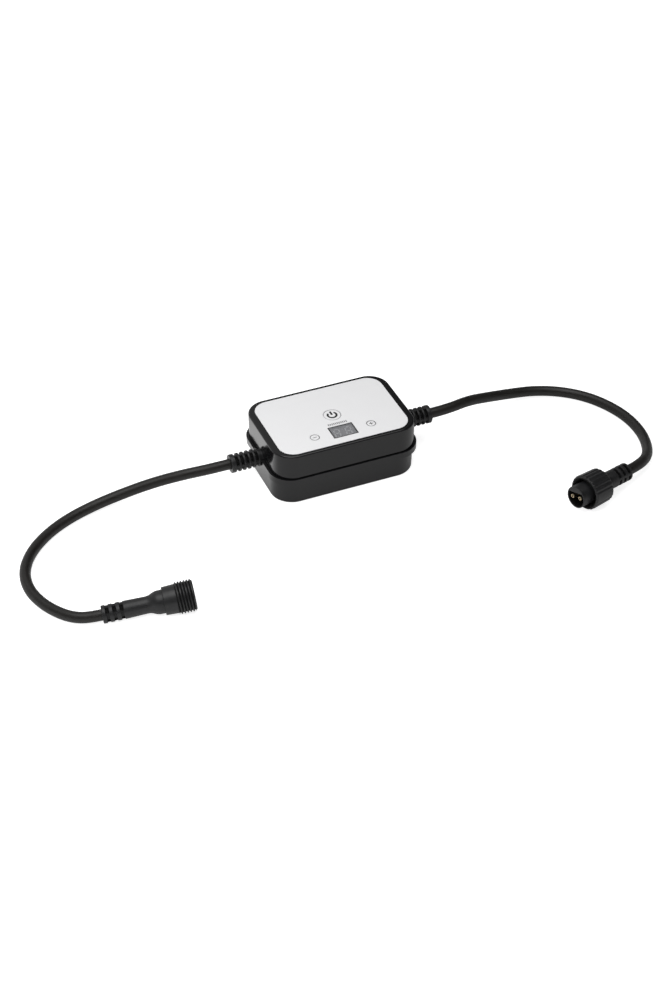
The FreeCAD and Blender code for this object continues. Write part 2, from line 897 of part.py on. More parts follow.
def make_plug_body():
    """Pin half's body: spigot with its recess, seal groove, flange, neck, slotted relief."""
    neck_end = nut_back + nut_side_gap
    body = turned([
        (0, 0),
        (0, spigot_radius),
        (mating_depth, spigot_radius),
        (mating_depth, plug_seal_seat),
        (plug_flange_front, plug_seal_seat),
        (plug_flange_front, plug_flange_radius),
        (plug_flange_back, plug_flange_radius),
        (plug_flange_back, plug_neck_radius),
        (neck_end, plug_neck_radius),
        (neck_end, plug_body_radius),
        (plug_length, plug_body_radius),
        (plug_length, 0),
    ])
    body = round_edges(body, plug_end_round, lambda edge: at_station(edge, plug_length))
    starts = [plug_slot_first + step * plug_slot_pitch for step in range(plug_slot_count)]
    slots = slotted_gaps(plug_body_radius, plug_slot_core, starts, plug_slot_width,
                         plug_body_radius + past, plug_slot_web, plug_web_turn)
    recess = flatted_rod(recess_radius, recess_flat, -past, recess_depth + carrier_thickness)
    roots = [lying(pin_radius + contact_gap, 0, recess_depth + carrier_thickness + pin_root,
                   (side, -pin_drop)) for side in pin_sides()]
    return cut(body, slots + [recess] + roots)


def make_pin_carrier():
    """Plate on the floor of the recess that holds the two pins."""
    end = recess_depth + carrier_thickness
    plate = flatted_rod(recess_radius - carrier_gap, recess_flat - carrier_gap, recess_depth, end)
    holes = [lying(pin_radius + contact_gap, recess_depth - past, end + past, (side, -pin_drop))
             for side in pin_sides()]
    return cut(plate, holes)


def make_plug_pins():
    """Two round pins, hollow at the tip."""
    root = recess_depth + carrier_thickness + pin_root
    pins = []
    for side in pin_sides():
        pin = lying(pin_radius, pin_setback, root, (side, -pin_drop))
        bore = lying(pin_bore, pin_setback - past, pin_setback + pin_bore_depth, (side, -pin_drop))
        pins.append(pin.cut(bore))
    return Part.makeCompound(pins)


def make_plug_seal():
    """Seal ring in the groove at the root of the spigot, against the flange."""
    ring = lying(plug_seal_radius, mating_depth, plug_flange_front)
    return ring.cut(lying(plug_seal_seat + contact_gap, mating_depth - past,
                          plug_flange_front + past))


def nut_barrel(radius):
    """Plain barrel of the nut with both end edges rounded."""
    return round_edges(lying(radius, nut_front, nut_back), nut_edge_round,
                       lambda edge: at_station(edge, nut_front) or at_station(edge, nut_back))


def nut_pad(turn):
    """One grip pad: a sector of a wider barrel, proud of the nut."""
    sweep = math.radians(nut_pad_angle / 2)
    reach = 2 * nut_radius
    spots = [V(nut_front, 0, 0), V(nut_front, -reach * math.sin(sweep), reach * math.cos(sweep)),
             V(nut_front, reach * math.sin(sweep), reach * math.cos(sweep))]
    wedge = Part.Face(Part.makePolygon(spots + [spots[0]])).extrude(V(nut_length, 0, 0))
    wedge.rotate(V(0, 0, 0), ALONG_X, turn)
    return wedge.common(nut_barrel(nut_radius + nut_pad_proud))


def make_union_nut():
    """Union nut: grip pads outside, thread inside, and a back wall that keeps it on the neck."""
    pads = [nut_pad(nut_pad_phase + step * 360 / nut_pad_count) for step in range(nut_pad_count)]
    body = fuse([nut_barrel(nut_radius)] + pads)
    floor = nut_back - nut_wall_back
    thread_end = nut_front + socket_thread_length
    crest = thread_root + nut_thread_gap
    root = thread_radius + nut_thread_gap
    bore = [(nut_front - past, 0), (nut_front - past, root)]
    bore += thread_profile(nut_front, thread_end, root, crest)
    bore += [(floor, root), (floor, 0)]
    hole = lying(plug_neck_radius + nut_hole_gap, floor - past, nut_back + past)
    return cut(body, [turned(bore), hole])


def build_parts():
    """Every node of the dimmer under its name."""
    gland = make_gland()
    tail = make_cable_tail()
    board_places = four_corners(board_screw_x, board_screw_y)
    case_places = four_corners(case_screw_x, case_screw_y)
    parts = {
        "top_case": make_top_case(),
        "bottom_case": make_bottom_case(),
        "case_seal": make_case_seal(),
        "case_screws": make_screws(case_places, case_screw_radius, case_screw_head,
                                   case_screw_head_height, case_screw_sink,
                                   case_post_joint + case_screw_grip),
        "face_panel": make_face_panel(),
        "window_frame": make_window_frame(),
        "display_window": make_window(),
        "display_module": make_display_module(),
        "display_digits": make_display_digits(),
        "switch_bodies": make_switch_bodies(),
        "main_board": make_main_board(),
        "board_screws": make_screws(board_places, board_screw_radius, board_screw_head,
                                    board_screw_head_height, board_bottom,
                                    board_top + board_screw_grip),
        "controller_chip": make_controller_chip(),
        "power_transistors": make_power_transistors(),
        "smoothing_capacitor": make_smoothing_capacitor(),
        "choke": make_choke(),
        "board_terminals": make_board_terminals(),
        "right_gland": gland,
        "left_gland": mirrored_ends(gland),
        "right_cable_tail": tail,
        "left_cable_tail": mirrored_ends(tail),
        "right_leads": make_leads(1),
        "left_leads": make_leads(-1),
    }
    for name in key_places:
        parts[name + "_key"] = make_key(name)
        parts[name + "_plunger"] = make_plunger(name)
        parts[name + "_switch_button"] = make_switch_button(name)
    socket = socket_placement()
    points = gland_points(-1) + left_route + connector_points(socket, 0, -socket_lead)
    parts["left_cable"] = make_free_cable("left_cable", points)
    for name, maker in (("socket_body", make_socket_body), ("socket_shell", make_socket_shell),
                        ("socket_insert", make_socket_insert),
                        ("socket_contacts", make_socket_contacts)):
        parts[name] = placed(maker(), socket)
    plug = plug_placement()
    points = gland_points(1) + right_route + connector_points(plug, plug_length, plug_lead)
    parts["right_cable"] = make_free_cable("right_cable", points)
    for name, maker in (("plug_body", make_plug_body), ("pin_carrier", make_pin_carrier),
                        ("plug_pins", make_plug_pins), ("plug_seal", make_plug_seal),
                        ("union_nut", make_union_nut)):
        parts[name] = placed(maker(), plug)
    return parts


def write_parts(parts):
    """One STEP file for each node."""
    os.makedirs("parts", exist_ok=True)
    for name, shape in parts.items():
        shape.exportStep("parts/" + name + ".step")


write_parts(build_parts())
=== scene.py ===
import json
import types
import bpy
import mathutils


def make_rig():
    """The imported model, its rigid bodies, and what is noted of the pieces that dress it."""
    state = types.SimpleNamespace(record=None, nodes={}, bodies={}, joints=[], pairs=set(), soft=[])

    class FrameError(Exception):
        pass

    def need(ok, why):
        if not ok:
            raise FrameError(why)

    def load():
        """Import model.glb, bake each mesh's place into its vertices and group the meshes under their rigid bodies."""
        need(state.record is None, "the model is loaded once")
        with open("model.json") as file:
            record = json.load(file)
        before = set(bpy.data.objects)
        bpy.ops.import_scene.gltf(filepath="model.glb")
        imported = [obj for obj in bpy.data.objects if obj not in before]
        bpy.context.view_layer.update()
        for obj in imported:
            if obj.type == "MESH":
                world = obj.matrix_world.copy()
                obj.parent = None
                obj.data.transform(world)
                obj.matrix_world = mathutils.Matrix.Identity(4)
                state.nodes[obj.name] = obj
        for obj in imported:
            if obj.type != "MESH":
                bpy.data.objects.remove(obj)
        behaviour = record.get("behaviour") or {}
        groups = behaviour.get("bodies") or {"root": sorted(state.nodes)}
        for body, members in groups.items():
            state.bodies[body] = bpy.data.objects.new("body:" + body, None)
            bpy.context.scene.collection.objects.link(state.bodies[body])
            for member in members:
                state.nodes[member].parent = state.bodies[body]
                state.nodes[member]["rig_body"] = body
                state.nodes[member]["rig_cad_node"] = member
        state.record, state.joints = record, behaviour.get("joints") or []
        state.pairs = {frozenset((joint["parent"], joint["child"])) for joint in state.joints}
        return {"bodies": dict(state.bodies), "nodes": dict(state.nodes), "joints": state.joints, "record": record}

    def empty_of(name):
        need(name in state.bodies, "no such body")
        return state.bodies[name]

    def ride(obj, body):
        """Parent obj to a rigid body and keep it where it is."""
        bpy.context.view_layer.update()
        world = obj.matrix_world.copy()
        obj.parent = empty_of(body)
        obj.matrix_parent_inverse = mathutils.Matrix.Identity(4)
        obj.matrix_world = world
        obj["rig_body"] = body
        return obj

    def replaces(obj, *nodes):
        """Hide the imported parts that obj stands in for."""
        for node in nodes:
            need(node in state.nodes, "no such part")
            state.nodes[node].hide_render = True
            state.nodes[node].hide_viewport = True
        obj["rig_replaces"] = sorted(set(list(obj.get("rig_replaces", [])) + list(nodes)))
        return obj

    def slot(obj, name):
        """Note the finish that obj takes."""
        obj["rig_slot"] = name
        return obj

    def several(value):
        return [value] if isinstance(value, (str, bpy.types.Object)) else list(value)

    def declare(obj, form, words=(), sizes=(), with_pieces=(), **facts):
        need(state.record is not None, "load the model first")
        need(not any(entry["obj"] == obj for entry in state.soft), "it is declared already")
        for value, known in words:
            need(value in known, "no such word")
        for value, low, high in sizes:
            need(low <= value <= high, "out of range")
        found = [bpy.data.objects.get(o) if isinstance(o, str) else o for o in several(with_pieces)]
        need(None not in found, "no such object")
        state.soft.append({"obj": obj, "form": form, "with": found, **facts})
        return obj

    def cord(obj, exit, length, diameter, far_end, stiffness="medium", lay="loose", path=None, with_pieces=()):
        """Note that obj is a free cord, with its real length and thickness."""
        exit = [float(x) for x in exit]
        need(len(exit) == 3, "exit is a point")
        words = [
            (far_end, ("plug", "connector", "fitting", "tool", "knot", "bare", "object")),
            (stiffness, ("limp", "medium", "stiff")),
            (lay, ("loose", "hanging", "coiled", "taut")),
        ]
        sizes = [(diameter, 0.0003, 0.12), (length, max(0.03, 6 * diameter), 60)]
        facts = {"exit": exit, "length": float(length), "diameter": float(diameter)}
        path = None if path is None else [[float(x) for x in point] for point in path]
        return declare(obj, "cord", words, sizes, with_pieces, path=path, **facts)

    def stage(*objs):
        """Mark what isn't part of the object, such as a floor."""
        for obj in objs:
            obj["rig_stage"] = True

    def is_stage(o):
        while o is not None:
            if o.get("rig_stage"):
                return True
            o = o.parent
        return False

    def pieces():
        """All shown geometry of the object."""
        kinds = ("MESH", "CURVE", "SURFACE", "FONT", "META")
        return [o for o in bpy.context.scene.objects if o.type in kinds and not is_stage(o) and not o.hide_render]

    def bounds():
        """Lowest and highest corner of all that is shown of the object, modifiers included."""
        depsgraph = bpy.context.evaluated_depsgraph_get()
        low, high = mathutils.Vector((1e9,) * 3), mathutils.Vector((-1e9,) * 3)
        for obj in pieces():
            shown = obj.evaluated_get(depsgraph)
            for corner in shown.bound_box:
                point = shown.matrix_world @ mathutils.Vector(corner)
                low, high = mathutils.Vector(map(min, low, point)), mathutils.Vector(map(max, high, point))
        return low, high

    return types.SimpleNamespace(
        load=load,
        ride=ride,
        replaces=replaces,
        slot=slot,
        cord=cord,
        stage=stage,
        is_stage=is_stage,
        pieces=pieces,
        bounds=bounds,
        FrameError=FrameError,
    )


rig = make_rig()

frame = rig.load()

import json
import logging
import math
from collections.abc import Mapping, Sequence
from dataclasses import dataclass, replace
from enum import Enum
from functools import cache

import bpy
import numpy as np
from mathutils import Matrix

# The look of an inline light dimmer: a black moulded box with a pale panel, two short cables and
# two screw connectors. Everything is in metres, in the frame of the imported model: X along the box,
# Y to the back, Z up, and the origin under the middle of the box.

log = logging.getLogger("dimmer")
Array = np.ndarray
Pair = tuple[float, float]
Point = tuple[float, float, float]
Piece = bpy.types.Object
Socket = bpy.types.NodeSocket
Tree = bpy.types.NodeTree
SIZE_FILE = "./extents.json"
PAINTED_GAP_SHADE = "painted_gap_shade"
SHARP_ANGLE = math.radians(50)


class Body(Enum):
    """The moving bodies that a piece can ride on."""

    CASE = "case"
    POWER = "power_button"
    MINUS = "minus_button"
    PLUS = "plus_button"
    NUT = "nut"


# ---- shader nodes and finishes


def linear(code: str) -> tuple[float, float, float, float]:
    """Turn an sRGB hex code into a linear colour.

    Args:
        code: Six hex digits, with or without the leading sign.

    Returns:
        Red, green, blue and an alpha of 1.
    """
    parts = [int(code.lstrip("#")[at:at + 2], 16) / 255 for at in (0, 2, 4)]
    red, green, blue = (
        part / 12.92 if part <= 0.04045 else ((part + 0.055) / 1.055) ** 2.4 for part in parts)
    return red, green, blue, 1.0


def node(tree: Tree, kind: str, inputs: Mapping[str | int, object] | None = None,
         **settings: object) -> bpy.types.Node:
    """Add one shader node.

    Args:
        tree: The node tree that it joins.
        kind: The node's type.
        inputs: Its input sockets by name or place, each given a value or another node's output.
        settings: Properties to set.

    Returns:
        The new node.
    """
    made = tree.nodes.new(kind)
    for name, value in settings.items():
        setattr(made, name, value)
    for place, value in (inputs or {}).items():
        if isinstance(value, Socket):
            tree.links.new(value, made.inputs[place])
        else:
            made.inputs[place].default_value = value
    return made


def bare_tree(owner: bpy.types.Material | bpy.types.World) -> Tree:
    """The emptied node tree of a material or world."""
    owner.use_nodes = True
    owner.node_tree.nodes.clear()
    return owner.node_tree


def reckoned(tree: Tree, operation: str, *values: object) -> Socket:
    """Result of one mathematical operation on values or sockets."""
    return node(tree, "ShaderNodeMath", dict(enumerate(values)), operation=operation).outputs[0]


def blended(
        tree: Tree, share: object, first: object, second: object, colours: bool = False) -> Socket:
    """Mix of two numbers, or of two colours, by the share of the second."""
    kind, place = ("RGBA", 6) if colours else ("FLOAT", 2)
    mixed = node(tree, "ShaderNodeMix", {0: share, place: first, place + 1: second}, data_type=kind)
    return mixed.outputs[2 if colours else 0]


def ramp(tree: Tree, value: Socket, reach: Pair, results: Pair, smooth: bool = False) -> Socket:
    """Carry a value that runs over a reach to the stretch between two results.

    Args:
        tree: The node tree.
        value: The value's socket.
        reach: Where the change starts and ends.
        results: What comes out before it and after it.
        smooth: Whether it eases in and out.

    Returns:
        The result's socket.
    """
    taken = dict(enumerate((value, *reach, *results)))
    kind = "SMOOTHSTEP" if smooth else "LINEAR"
    return node(tree, "ShaderNodeMapRange", taken, interpolation_type=kind).outputs[0]


@dataclass(frozen=True)
class Finish:
    """What a piece is made of and how its surface was made.

    Colour and gloss drift between two close values in soft clouds, and a fine grain stands on the
    surface. Where a piece has narrow gaps and hollows, its point attribute says how deep a place lies
    in one, and there the colour is darkened by painted shade and the gloss is duller. Lengths are in
    metres.
    """

    name: str
    colour: str
    shade: str
    roughness: Pair
    cloud: float
    grain: float
    relief: float
    edge: float = 0.0
    ior: float = 1.5
    metallic: float = 0.0
    alpha: float = 1.0
    stretch: Point = (1.0, 1.0, 1.0)
    # Colour of the painted shade in gaps and hollows; none where it is empty.
    gap_shade_colour: str = ""
    gap_roughness: float = 0.9
    cloud_reach: Pair = (0.3, 0.7)

    def colouring(self, tree: Tree, place: Socket, clouds: Socket) -> Socket:
        """Colour at a place in Object coordinates: the two tones mixed by the soft clouds."""
        return blended(tree, clouds, linear(self.colour), linear(self.shade), colours=True)

    def material(self) -> bpy.types.Material:
        """Build the material.

        Returns:
            The material, on the piece's own Object coordinates.
        """
        material = bpy.data.materials.new(self.name)
        tree = bare_tree(material)
        coordinates = node(tree, "ShaderNodeTexCoord")
        place = node(tree, "ShaderNodeMapping",
                     {"Vector": coordinates.outputs["Object"], "Scale": self.stretch}).outputs[0]
        clouds = node(tree, "ShaderNodeTexNoise",
                      {"Vector": place, "Scale": 1 / self.cloud, "Detail": 2.0}).outputs[0]
        gloss = ramp(tree, clouds, self.cloud_reach, self.roughness)
        colour = self.colouring(tree, coordinates.outputs["Object"], clouds)
        # Painted shade: gaps and hollows darken towards the gap shade colour by their depth, and turn duller.
        if self.gap_shade_colour:
            depth = node(tree, "ShaderNodeAttribute", attribute_name=PAINTED_GAP_SHADE).outputs["Fac"]
            colour = blended(tree, depth, colour, linear(self.gap_shade_colour), colours=True)
            gloss = blended(tree, depth, gloss, self.gap_roughness)
        grain = node(tree, "ShaderNodeTexNoise",
                     {"Vector": place, "Scale": 1 / self.grain, "Detail": 3.0}).outputs[0]
        facing = {"Height": grain, "Distance": self.relief, "Strength": 1.0}
        if self.edge:
            softened = node(tree, "ShaderNodeBevel", {"Radius": self.edge}, samples=4)
            facing["Normal"] = softened.outputs[0]
        shader = node(tree, "ShaderNodeBsdfPrincipled", {
            "Base Color": colour, "Roughness": gloss, "IOR": self.ior, "Metallic": self.metallic,
            "Alpha": self.alpha, "Normal": node(tree, "ShaderNodeBump", facing).outputs[0]})
        node(tree, "ShaderNodeOutputMaterial", {"Surface": shader.outputs[0]})
        return material


@dataclass(frozen=True)
class PrintedOverlay(Finish):
    """Film with a row of printed level ticks, worked out from the place on the film."""

    ink: str = "#101012"
    middle: Pair = (0.0003, -0.0086)
    pitch: float = 0.0011
    count: int = 11
    tick_width: float = 0.0005
    tick_height: float = 0.0018

    def colouring(self, tree: Tree, place: Socket, clouds: Socket) -> Socket:
        """Film colour with the ticks: a tick is where x, folded by the pitch, is near 0."""
        film = super().colouring(tree, place, clouds)
        shift = (-self.middle[0], -self.middle[1], 0.0)
        local = node(tree, "ShaderNodeMapping", {"Vector": place, "Location": shift})
        split = node(tree, "ShaderNodeSeparateXYZ", {0: local.outputs[0]})
        half = self.pitch / 2
        folded = reckoned(tree, "PINGPONG", split.outputs["X"], half)
        mask = reckoned(tree, "LESS_THAN", folded, self.tick_width / 2)
        for axis, reach in (("X", half * self.count), ("Y", self.tick_height / 2)):
            inside = reckoned(tree, "COMPARE", split.outputs[axis], 0.0, reach)
            mask = reckoned(tree, "MULTIPLY", mask, inside)
        return blended(tree, mask, film, linear(self.ink), colours=True)


@dataclass(frozen=True)
class CoatedLaminate(Finish):
    """Board under solder mask: copper tracks show through as a paler grid of bent lines."""

    track: str = "#2C7A48"
    track_pitch: float = 0.0024

    def colouring(self, tree: Tree, place: Socket, clouds: Socket) -> Socket:
        """Mask colour with tracks where a brick pattern's joints run."""
        mask = super().colouring(tree, place, clouds)
        bricks = node(tree, "ShaderNodeTexBrick", {
            "Vector": place, "Scale": 1 / self.track_pitch, "Mortar Size": 0.07,
            "Brick Width": 2.4, "Row Height": 0.5}, offset=0.35, squash_frequency=3)
        return blended(tree, bricks.outputs["Fac"], mask, linear(self.track), colours=True)


# Acrylonitrile butadiene styrene, moulded in a polished tool: near black, sharp broad reflections
# that waver a little with the flow of the plastic, and crisp edges 0.15 mm round.
POLISHED_ABS = Finish(
    "polished_abs_moulding", "#0E0E0F", "#111112", (0.13, 0.19), 0.018, 0.004, 4e-6, edge=0.00015)
# Polycarbonate film, screen printed white on its back and satin on its face: an even pale sheet
# with a soft sheen and no grain to the eye.
PRINTED_FILM = PrintedOverlay("satin_polycarbonate_film", "#E6E6E7", "#E3E3E4", (0.36, 0.42),
                              0.012, 0.00025, 1.5e-6, ior=1.58)
KEY_FILM = Finish(
    "satin_polycarbonate_key", "#E6E6E7", "#E3E3E4", (0.34, 0.40), 0.006, 0.00025, 1.5e-6, ior=1.58)
# Screen printing ink: thin, matt and slightly uneven at its body.
BLACK_INK = Finish("screen_ink_black", "#121213", "#1A1A1C", (0.45, 0.55), 0.001, 0.0001, 2e-6)
GREY_INK = replace(BLACK_INK, name="screen_ink_grey", colour="#7A7A7D", shade="#707073")
DARK_GREY_INK = replace(BLACK_INK, name="screen_ink_dark_grey", colour="#19191B", shade="#222225")
# Plasticised polyvinyl chloride, moulded in a spark-eroded tool: soft black with a broad satin
# sheen and a fine matt grain. Its gaps and hollows are painted near black as shade.
SATIN_PVC = Finish("satin_pvc_moulding", "#161617", "#1B1B1C", (0.36, 0.46), 0.004, 0.0003,
                   6e-6, gap_shade_colour="#020202")
# The same plastic drawn through a die as a cable sheath: a shade warmer, a little duller, with
# slow changes along its length where it was cooled and coiled.
EXTRUDED_SHEATH = Finish(
    "extruded_pvc_sheath", "#100F0D", "#161412", (0.40, 0.50), 0.009, 0.0006, 8e-6)
# Polyamide, moulded in a blasted tool: hard satin black that catches light along its threads.
# The roots of its threads and its insides are painted near black as shade.
SATIN_NYLON = Finish("satin_polyamide_moulding", "#161617", "#1B1B1C", (0.32, 0.42), 0.005,
                     0.00035, 5e-6, gap_shade_colour="#020202")
MATT_NYLON = Finish(
    "matt_polyamide_insert", "#0B0B0C", "#101011", (0.45, 0.55), 0.003, 0.0003, 4e-6)
# Silicone rubber, compression moulded: dull black.
SILICONE = Finish(
    "moulded_silicone_rubber", "#0C0C0C", "#121212", (0.55, 0.65), 0.003, 0.0004, 6e-6, ior=1.41)
# Acrylic sheet, dyed grey and die cut: clear enough to show the digits, with a hard gloss.
SMOKED_ACRYLIC = Finish("smoked_acrylic_window", "#9B9C9F", "#929396", (0.06, 0.10), 0.006,
                        0.002, 1e-6, ior=1.49, alpha=0.42)
WINDOW_BORDER = Finish(
    "printed_window_border", "#0B0B0C", "#121213", (0.30, 0.38), 0.002, 0.0002, 2e-6)
# Epoxy-filled display block: flat grey paint on the face, milky bars where the light comes out.
DISPLAY_FACE = Finish(
    "painted_display_face", "#8A8B8E", "#818285", (0.40, 0.50), 0.003, 0.0002, 2e-6)
DISPLAY_BAR = Finish("milky_epoxy_bar", "#EDEEF0", "#E4E5E7", (0.30, 0.40), 0.001, 0.0002, 2e-6)
# Brass, turned and plated with nickel or gold: bright, with fine rings from the tool.
TURNED_BRASS = Finish("turned_plated_brass", "#F2E6C4", "#E3C6A0", (0.22, 0.34), 0.0008,
                      8e-5, 3e-6, metallic=1.0, stretch=(6.0, 1.0, 1.0))
# Steel, cold headed and zinc plated: cool grey with a mild sheen.
ZINC_STEEL = Finish(
    "zinc_plated_steel", "#B9BBBE", "#A4A6AA", (0.28, 0.42), 0.0009, 0.00012, 4e-6, metallic=1.0)
LAMINATE = CoatedLaminate(
    "coated_glass_laminate", "#14542C", "#1A5E33", (0.30, 0.40), 0.01, 0.0004, 8e-6)
EPOXY_BLACK = Finish(
    "moulded_epoxy_package", "#141416", "#1B1B1D", (0.45, 0.60), 0.001, 0.00015, 6e-6)
DRAWN_ALUMINIUM = Finish("drawn_aluminium_can", "#C4C6C9", "#B2B4B8", (0.22, 0.34), 0.002,
                         0.0002, 3e-6, metallic=1.0, stretch=(1.0, 1.0, 8.0))
FERRITE = Finish("sintered_ferrite", "#2C2725", "#35302D", (0.60, 0.75), 0.0012, 0.0002, 1.2e-5)
NATURAL_NYLON = Finish(
    "natural_polyamide_moulding", "#D9D7CF", "#CFCDC4", (0.35, 0.45), 0.002, 0.0003, 4e-6)
WIRE_INSULATION = Finish(
    "extruded_wire_insulation", "#7A1C16", "#6B1711", (0.32, 0.42), 0.002, 0.0003, 3e-6)


@cache
def material_of(finish: Finish) -> bpy.types.Material:
    """The material of a finish, built once."""
    return finish.material()


# ---- shapes from arrays


def smooth_step(value: Array) -> Array:
    """0 below 0, 1 above 1, and 3v² - 2v³ between them."""
    held = np.clip(value, 0, 1)
    return held * held * (3 - 2 * held)


def turn_angles(count: int) -> Array:
    """Evenly spaced angles once round, in radians."""
    return np.arange(count) * (2 * np.pi / count)


def swells(angles: Array, places: Sequence[float], half_width: float, blur: float) -> Array:
    """A bump round each of several places on a circle.

    The bump is 1 up to its half width from a place and falls to 0 over the blur, by smooth_step
    of the distance round the circle.

    Args:
        angles: Angles to read it at, in radians.
        places: Middles of the bumps, in degrees.
        half_width: Half the width of a bump, in degrees.
        blur: Width of its slope, in degrees.

    Returns:
        Its height at each angle, from 0 to 1.
    """
    apart = np.abs(np.angle(np.exp(1j * (angles[:, None] - np.radians(places)))))
    return (1 - smooth_step((np.degrees(apart) - half_width) / blur)).max(axis=1)


def rounded(corners: Sequence[Point], closed: bool, steps: int = 6) -> Array:
    """An outline of stations and radii with a small curve at each corner.

    A corner's curve is the parabola (1-t)²A + 2t(1-t)C + t²B, where A and B lie on its two sides,
    both the corner's round away from C, or 0.45 of the side where that is shorter. The two ends
    of an open outline stay as they are.

    Args:
        corners: Station, radius and round of each corner.
        closed: Whether the last corner joins the first.
        steps: Points on each curve.

    Returns:
        Points of the outline, as (station, radius).
    """
    table = np.array(corners, float)
    spots, reach = table[:, :2], table[:, 2]
    back, ahead = np.roll(spots, 1, 0) - spots, np.roll(spots, -1, 0) - spots
    back_run, ahead_run = np.linalg.norm(back, axis=1), np.linalg.norm(ahead, axis=1)
    cut = np.minimum(np.maximum(reach, 1e-5), 0.45 * np.minimum(back_run, ahead_run))
    start = (spots + back * (cut / back_run)[:, None])[:, None]
    end = (spots + ahead * (cut / ahead_run)[:, None])[:, None]
    t = np.linspace(0, 1, steps)[None, :, None]
    curves = (1 - t) ** 2 * start + 2 * t * (1 - t) * spots[:, None] + t ** 2 * end
    if closed:
        return curves.reshape(-1, 2)
    return np.vstack([spots[:1], curves[1:-1].reshape(-1, 2), spots[-1:]])


def refined(outline: Array, spacing: float) -> Array:
    """The same closed outline with more points along its long sides.

    It is read at its own points and at even steps of the length run so far, less the steps that
    fall beside a point.

    Args:
        outline: Points as (station, radius).
        spacing: The longest step between two points, about.

    Returns:
        Points of the refined outline.
    """
    path = np.vstack([outline, outline[:1]])
    run = np.concatenate([[0], np.cumsum(np.linalg.norm(np.diff(path, axis=0), axis=1))])
    even = np.arange(0, run[-1], spacing)
    even = even[np.abs(even[:, None] - run).min(axis=1) > 0.2 * spacing]
    marks = np.sort(np.concatenate([run, even]))[:-1]
    return np.stack([np.interp(marks, run, path[:, axis]) for axis in (0, 1)], axis=-1)


@dataclass(frozen=True)
class Seat:
    """Where a shape made along its own X axis goes.

    It is rolled about X, tilted about Y, turned about Z, all in degrees, and then moved.
    """

    origin: Point
    yaw: float = 0.0
    tilt: float = 0.0
    roll: float = 0.0

    def place(self, points: Array) -> Array:
        """Carry points from the shape's own axes to the row frame."""
        turn = Matrix.Identity(3)
        for angle, axis in ((self.yaw, "Z"), (self.tilt, "Y"), (self.roll, "X")):
            turn = turn @ Matrix.Rotation(math.radians(angle), 3, axis)
        return points @ np.array(turn).T + np.array(self.origin)


def linked(name: str, data: bpy.types.ID) -> Piece:
    """A new object in the scene, at the origin, with the given data."""
    made = bpy.data.objects.new(name, data)
    bpy.context.scene.collection.objects.link(made)
    return made


def ring_faces(rows: int, columns: int, looped: bool) -> Array:
    """Faces between closed rings, where point j of ring i has the number i * columns + j."""
    row = np.arange(rows if looped else rows - 1)[:, None]
    column = np.arange(columns)
    after, above = (column + 1) % columns, (row + 1) % rows
    return np.stack([row * columns + column, row * columns + after, above * columns + after,
                     above * columns + column], axis=-1).reshape(-1, 4)


def skin(name: str, rings: Array, looped: bool, depth: Array | None = None) -> Piece:
    """Join a stack of closed rings into a mesh, facing outwards.

    Each face joins a point to the next one round and to the next ring. A stack that isn't looped
    is closed at both ends by a fan to one more point, the mean of the end ring.

    Args:
        name: The piece's name.
        rings: Points in an array of rings by angles by 3.
        looped: Whether the last ring joins the first.
        depth: How deep each point lies in a gap, from 0 to 1, where the piece has gaps; it sets the
            painted shade there.

    Returns:
        The new object, with its place in its mesh.
    """
    rows, columns, _ = rings.shape
    points = rings.reshape(-1, 3)
    faces = ring_faces(rows, columns, looped).tolist()
    if not looped:
        count = rows * columns
        here = np.arange(columns)
        onward, last = (here + 1) % columns, count - columns
        low = np.stack([onward, here, np.full(columns, count)], axis=-1)
        high = np.stack([last + here, last + onward, np.full(columns, count + 1)], axis=-1)
        points = np.vstack([points, rings[0].mean(axis=0), rings[-1].mean(axis=0)])
        faces += low.tolist() + high.tolist()
    mesh = bpy.data.meshes.new(name)
    mesh.from_pydata(points.tolist(), [], faces)
    mesh.update()
    # The depth is stored for the material, which paints shade by it.
    if depth is not None:
        values = np.zeros(len(points))
        values[:rows * columns] = depth.ravel()
        mesh.attributes.new(PAINTED_GAP_SHADE, "FLOAT", "POINT").data.foreach_set("value", values)
    mesh.shade_smooth()
    mesh.set_sharp_from_angle(angle=SHARP_ANGLE)
    piece = linked(name, mesh)
    even = piece.modifiers.new("even_normals", "WEIGHTED_NORMAL")
    even.keep_sharp = True
    return piece


def turned(name: str, seat: Seat, stations: Array, radii: Array, angles: Array, looped: bool,
           depth: Array | None = None) -> Piece:
    """Skin of rings round a seat's X axis.

    Each point is (station, radius cos angle, radius sin angle) in the seat's own axes.

    Args:
        name: The piece's name.
        seat: Where it goes.
        stations: One station for each ring.
        radii: Radius of each ring, at each angle or as one column for all.
        angles: The angles, in radians.
        looped: Whether the last ring joins the first.
        depth: How deep each point lies in a gap, where the piece has gaps; it sets the painted shade
            there.

    Returns:
        The new object.
    """
    radii = np.broadcast_to(radii, (len(stations), len(angles)))
    across = np.broadcast_to(stations[:, None], radii.shape)
    rings = np.stack([across, radii * np.cos(angles), radii * np.sin(angles)], axis=-1)
    return skin(name, seat.place(rings), looped, depth)


def settle(piece: Piece, finish: Finish, slot: str, stands_for: Sequence[str] = (),
           body: Body = Body.CASE) -> Piece:
    """Give a piece its finish, its body and the nodes that it stands for.

    Args:
        piece: The new piece.
        finish: What it is made of.
        slot: The record's material slot for it.
        stands_for: Names of the nodes that it replaces.
        body: The body that it moves with.

    Returns:
        The piece.
    """
    piece.data.materials.append(material_of(finish))
    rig.ride(piece, body.value)
    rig.slot(piece, slot)
    if stands_for:
        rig.replaces(piece, *stands_for)
    size = len(piece.data.polygons) if piece.type == "MESH" else len(piece.data.splines[0].points)
    log.info("made %s on %s: %d faces or points", piece.name, body.value, size)
    return piece


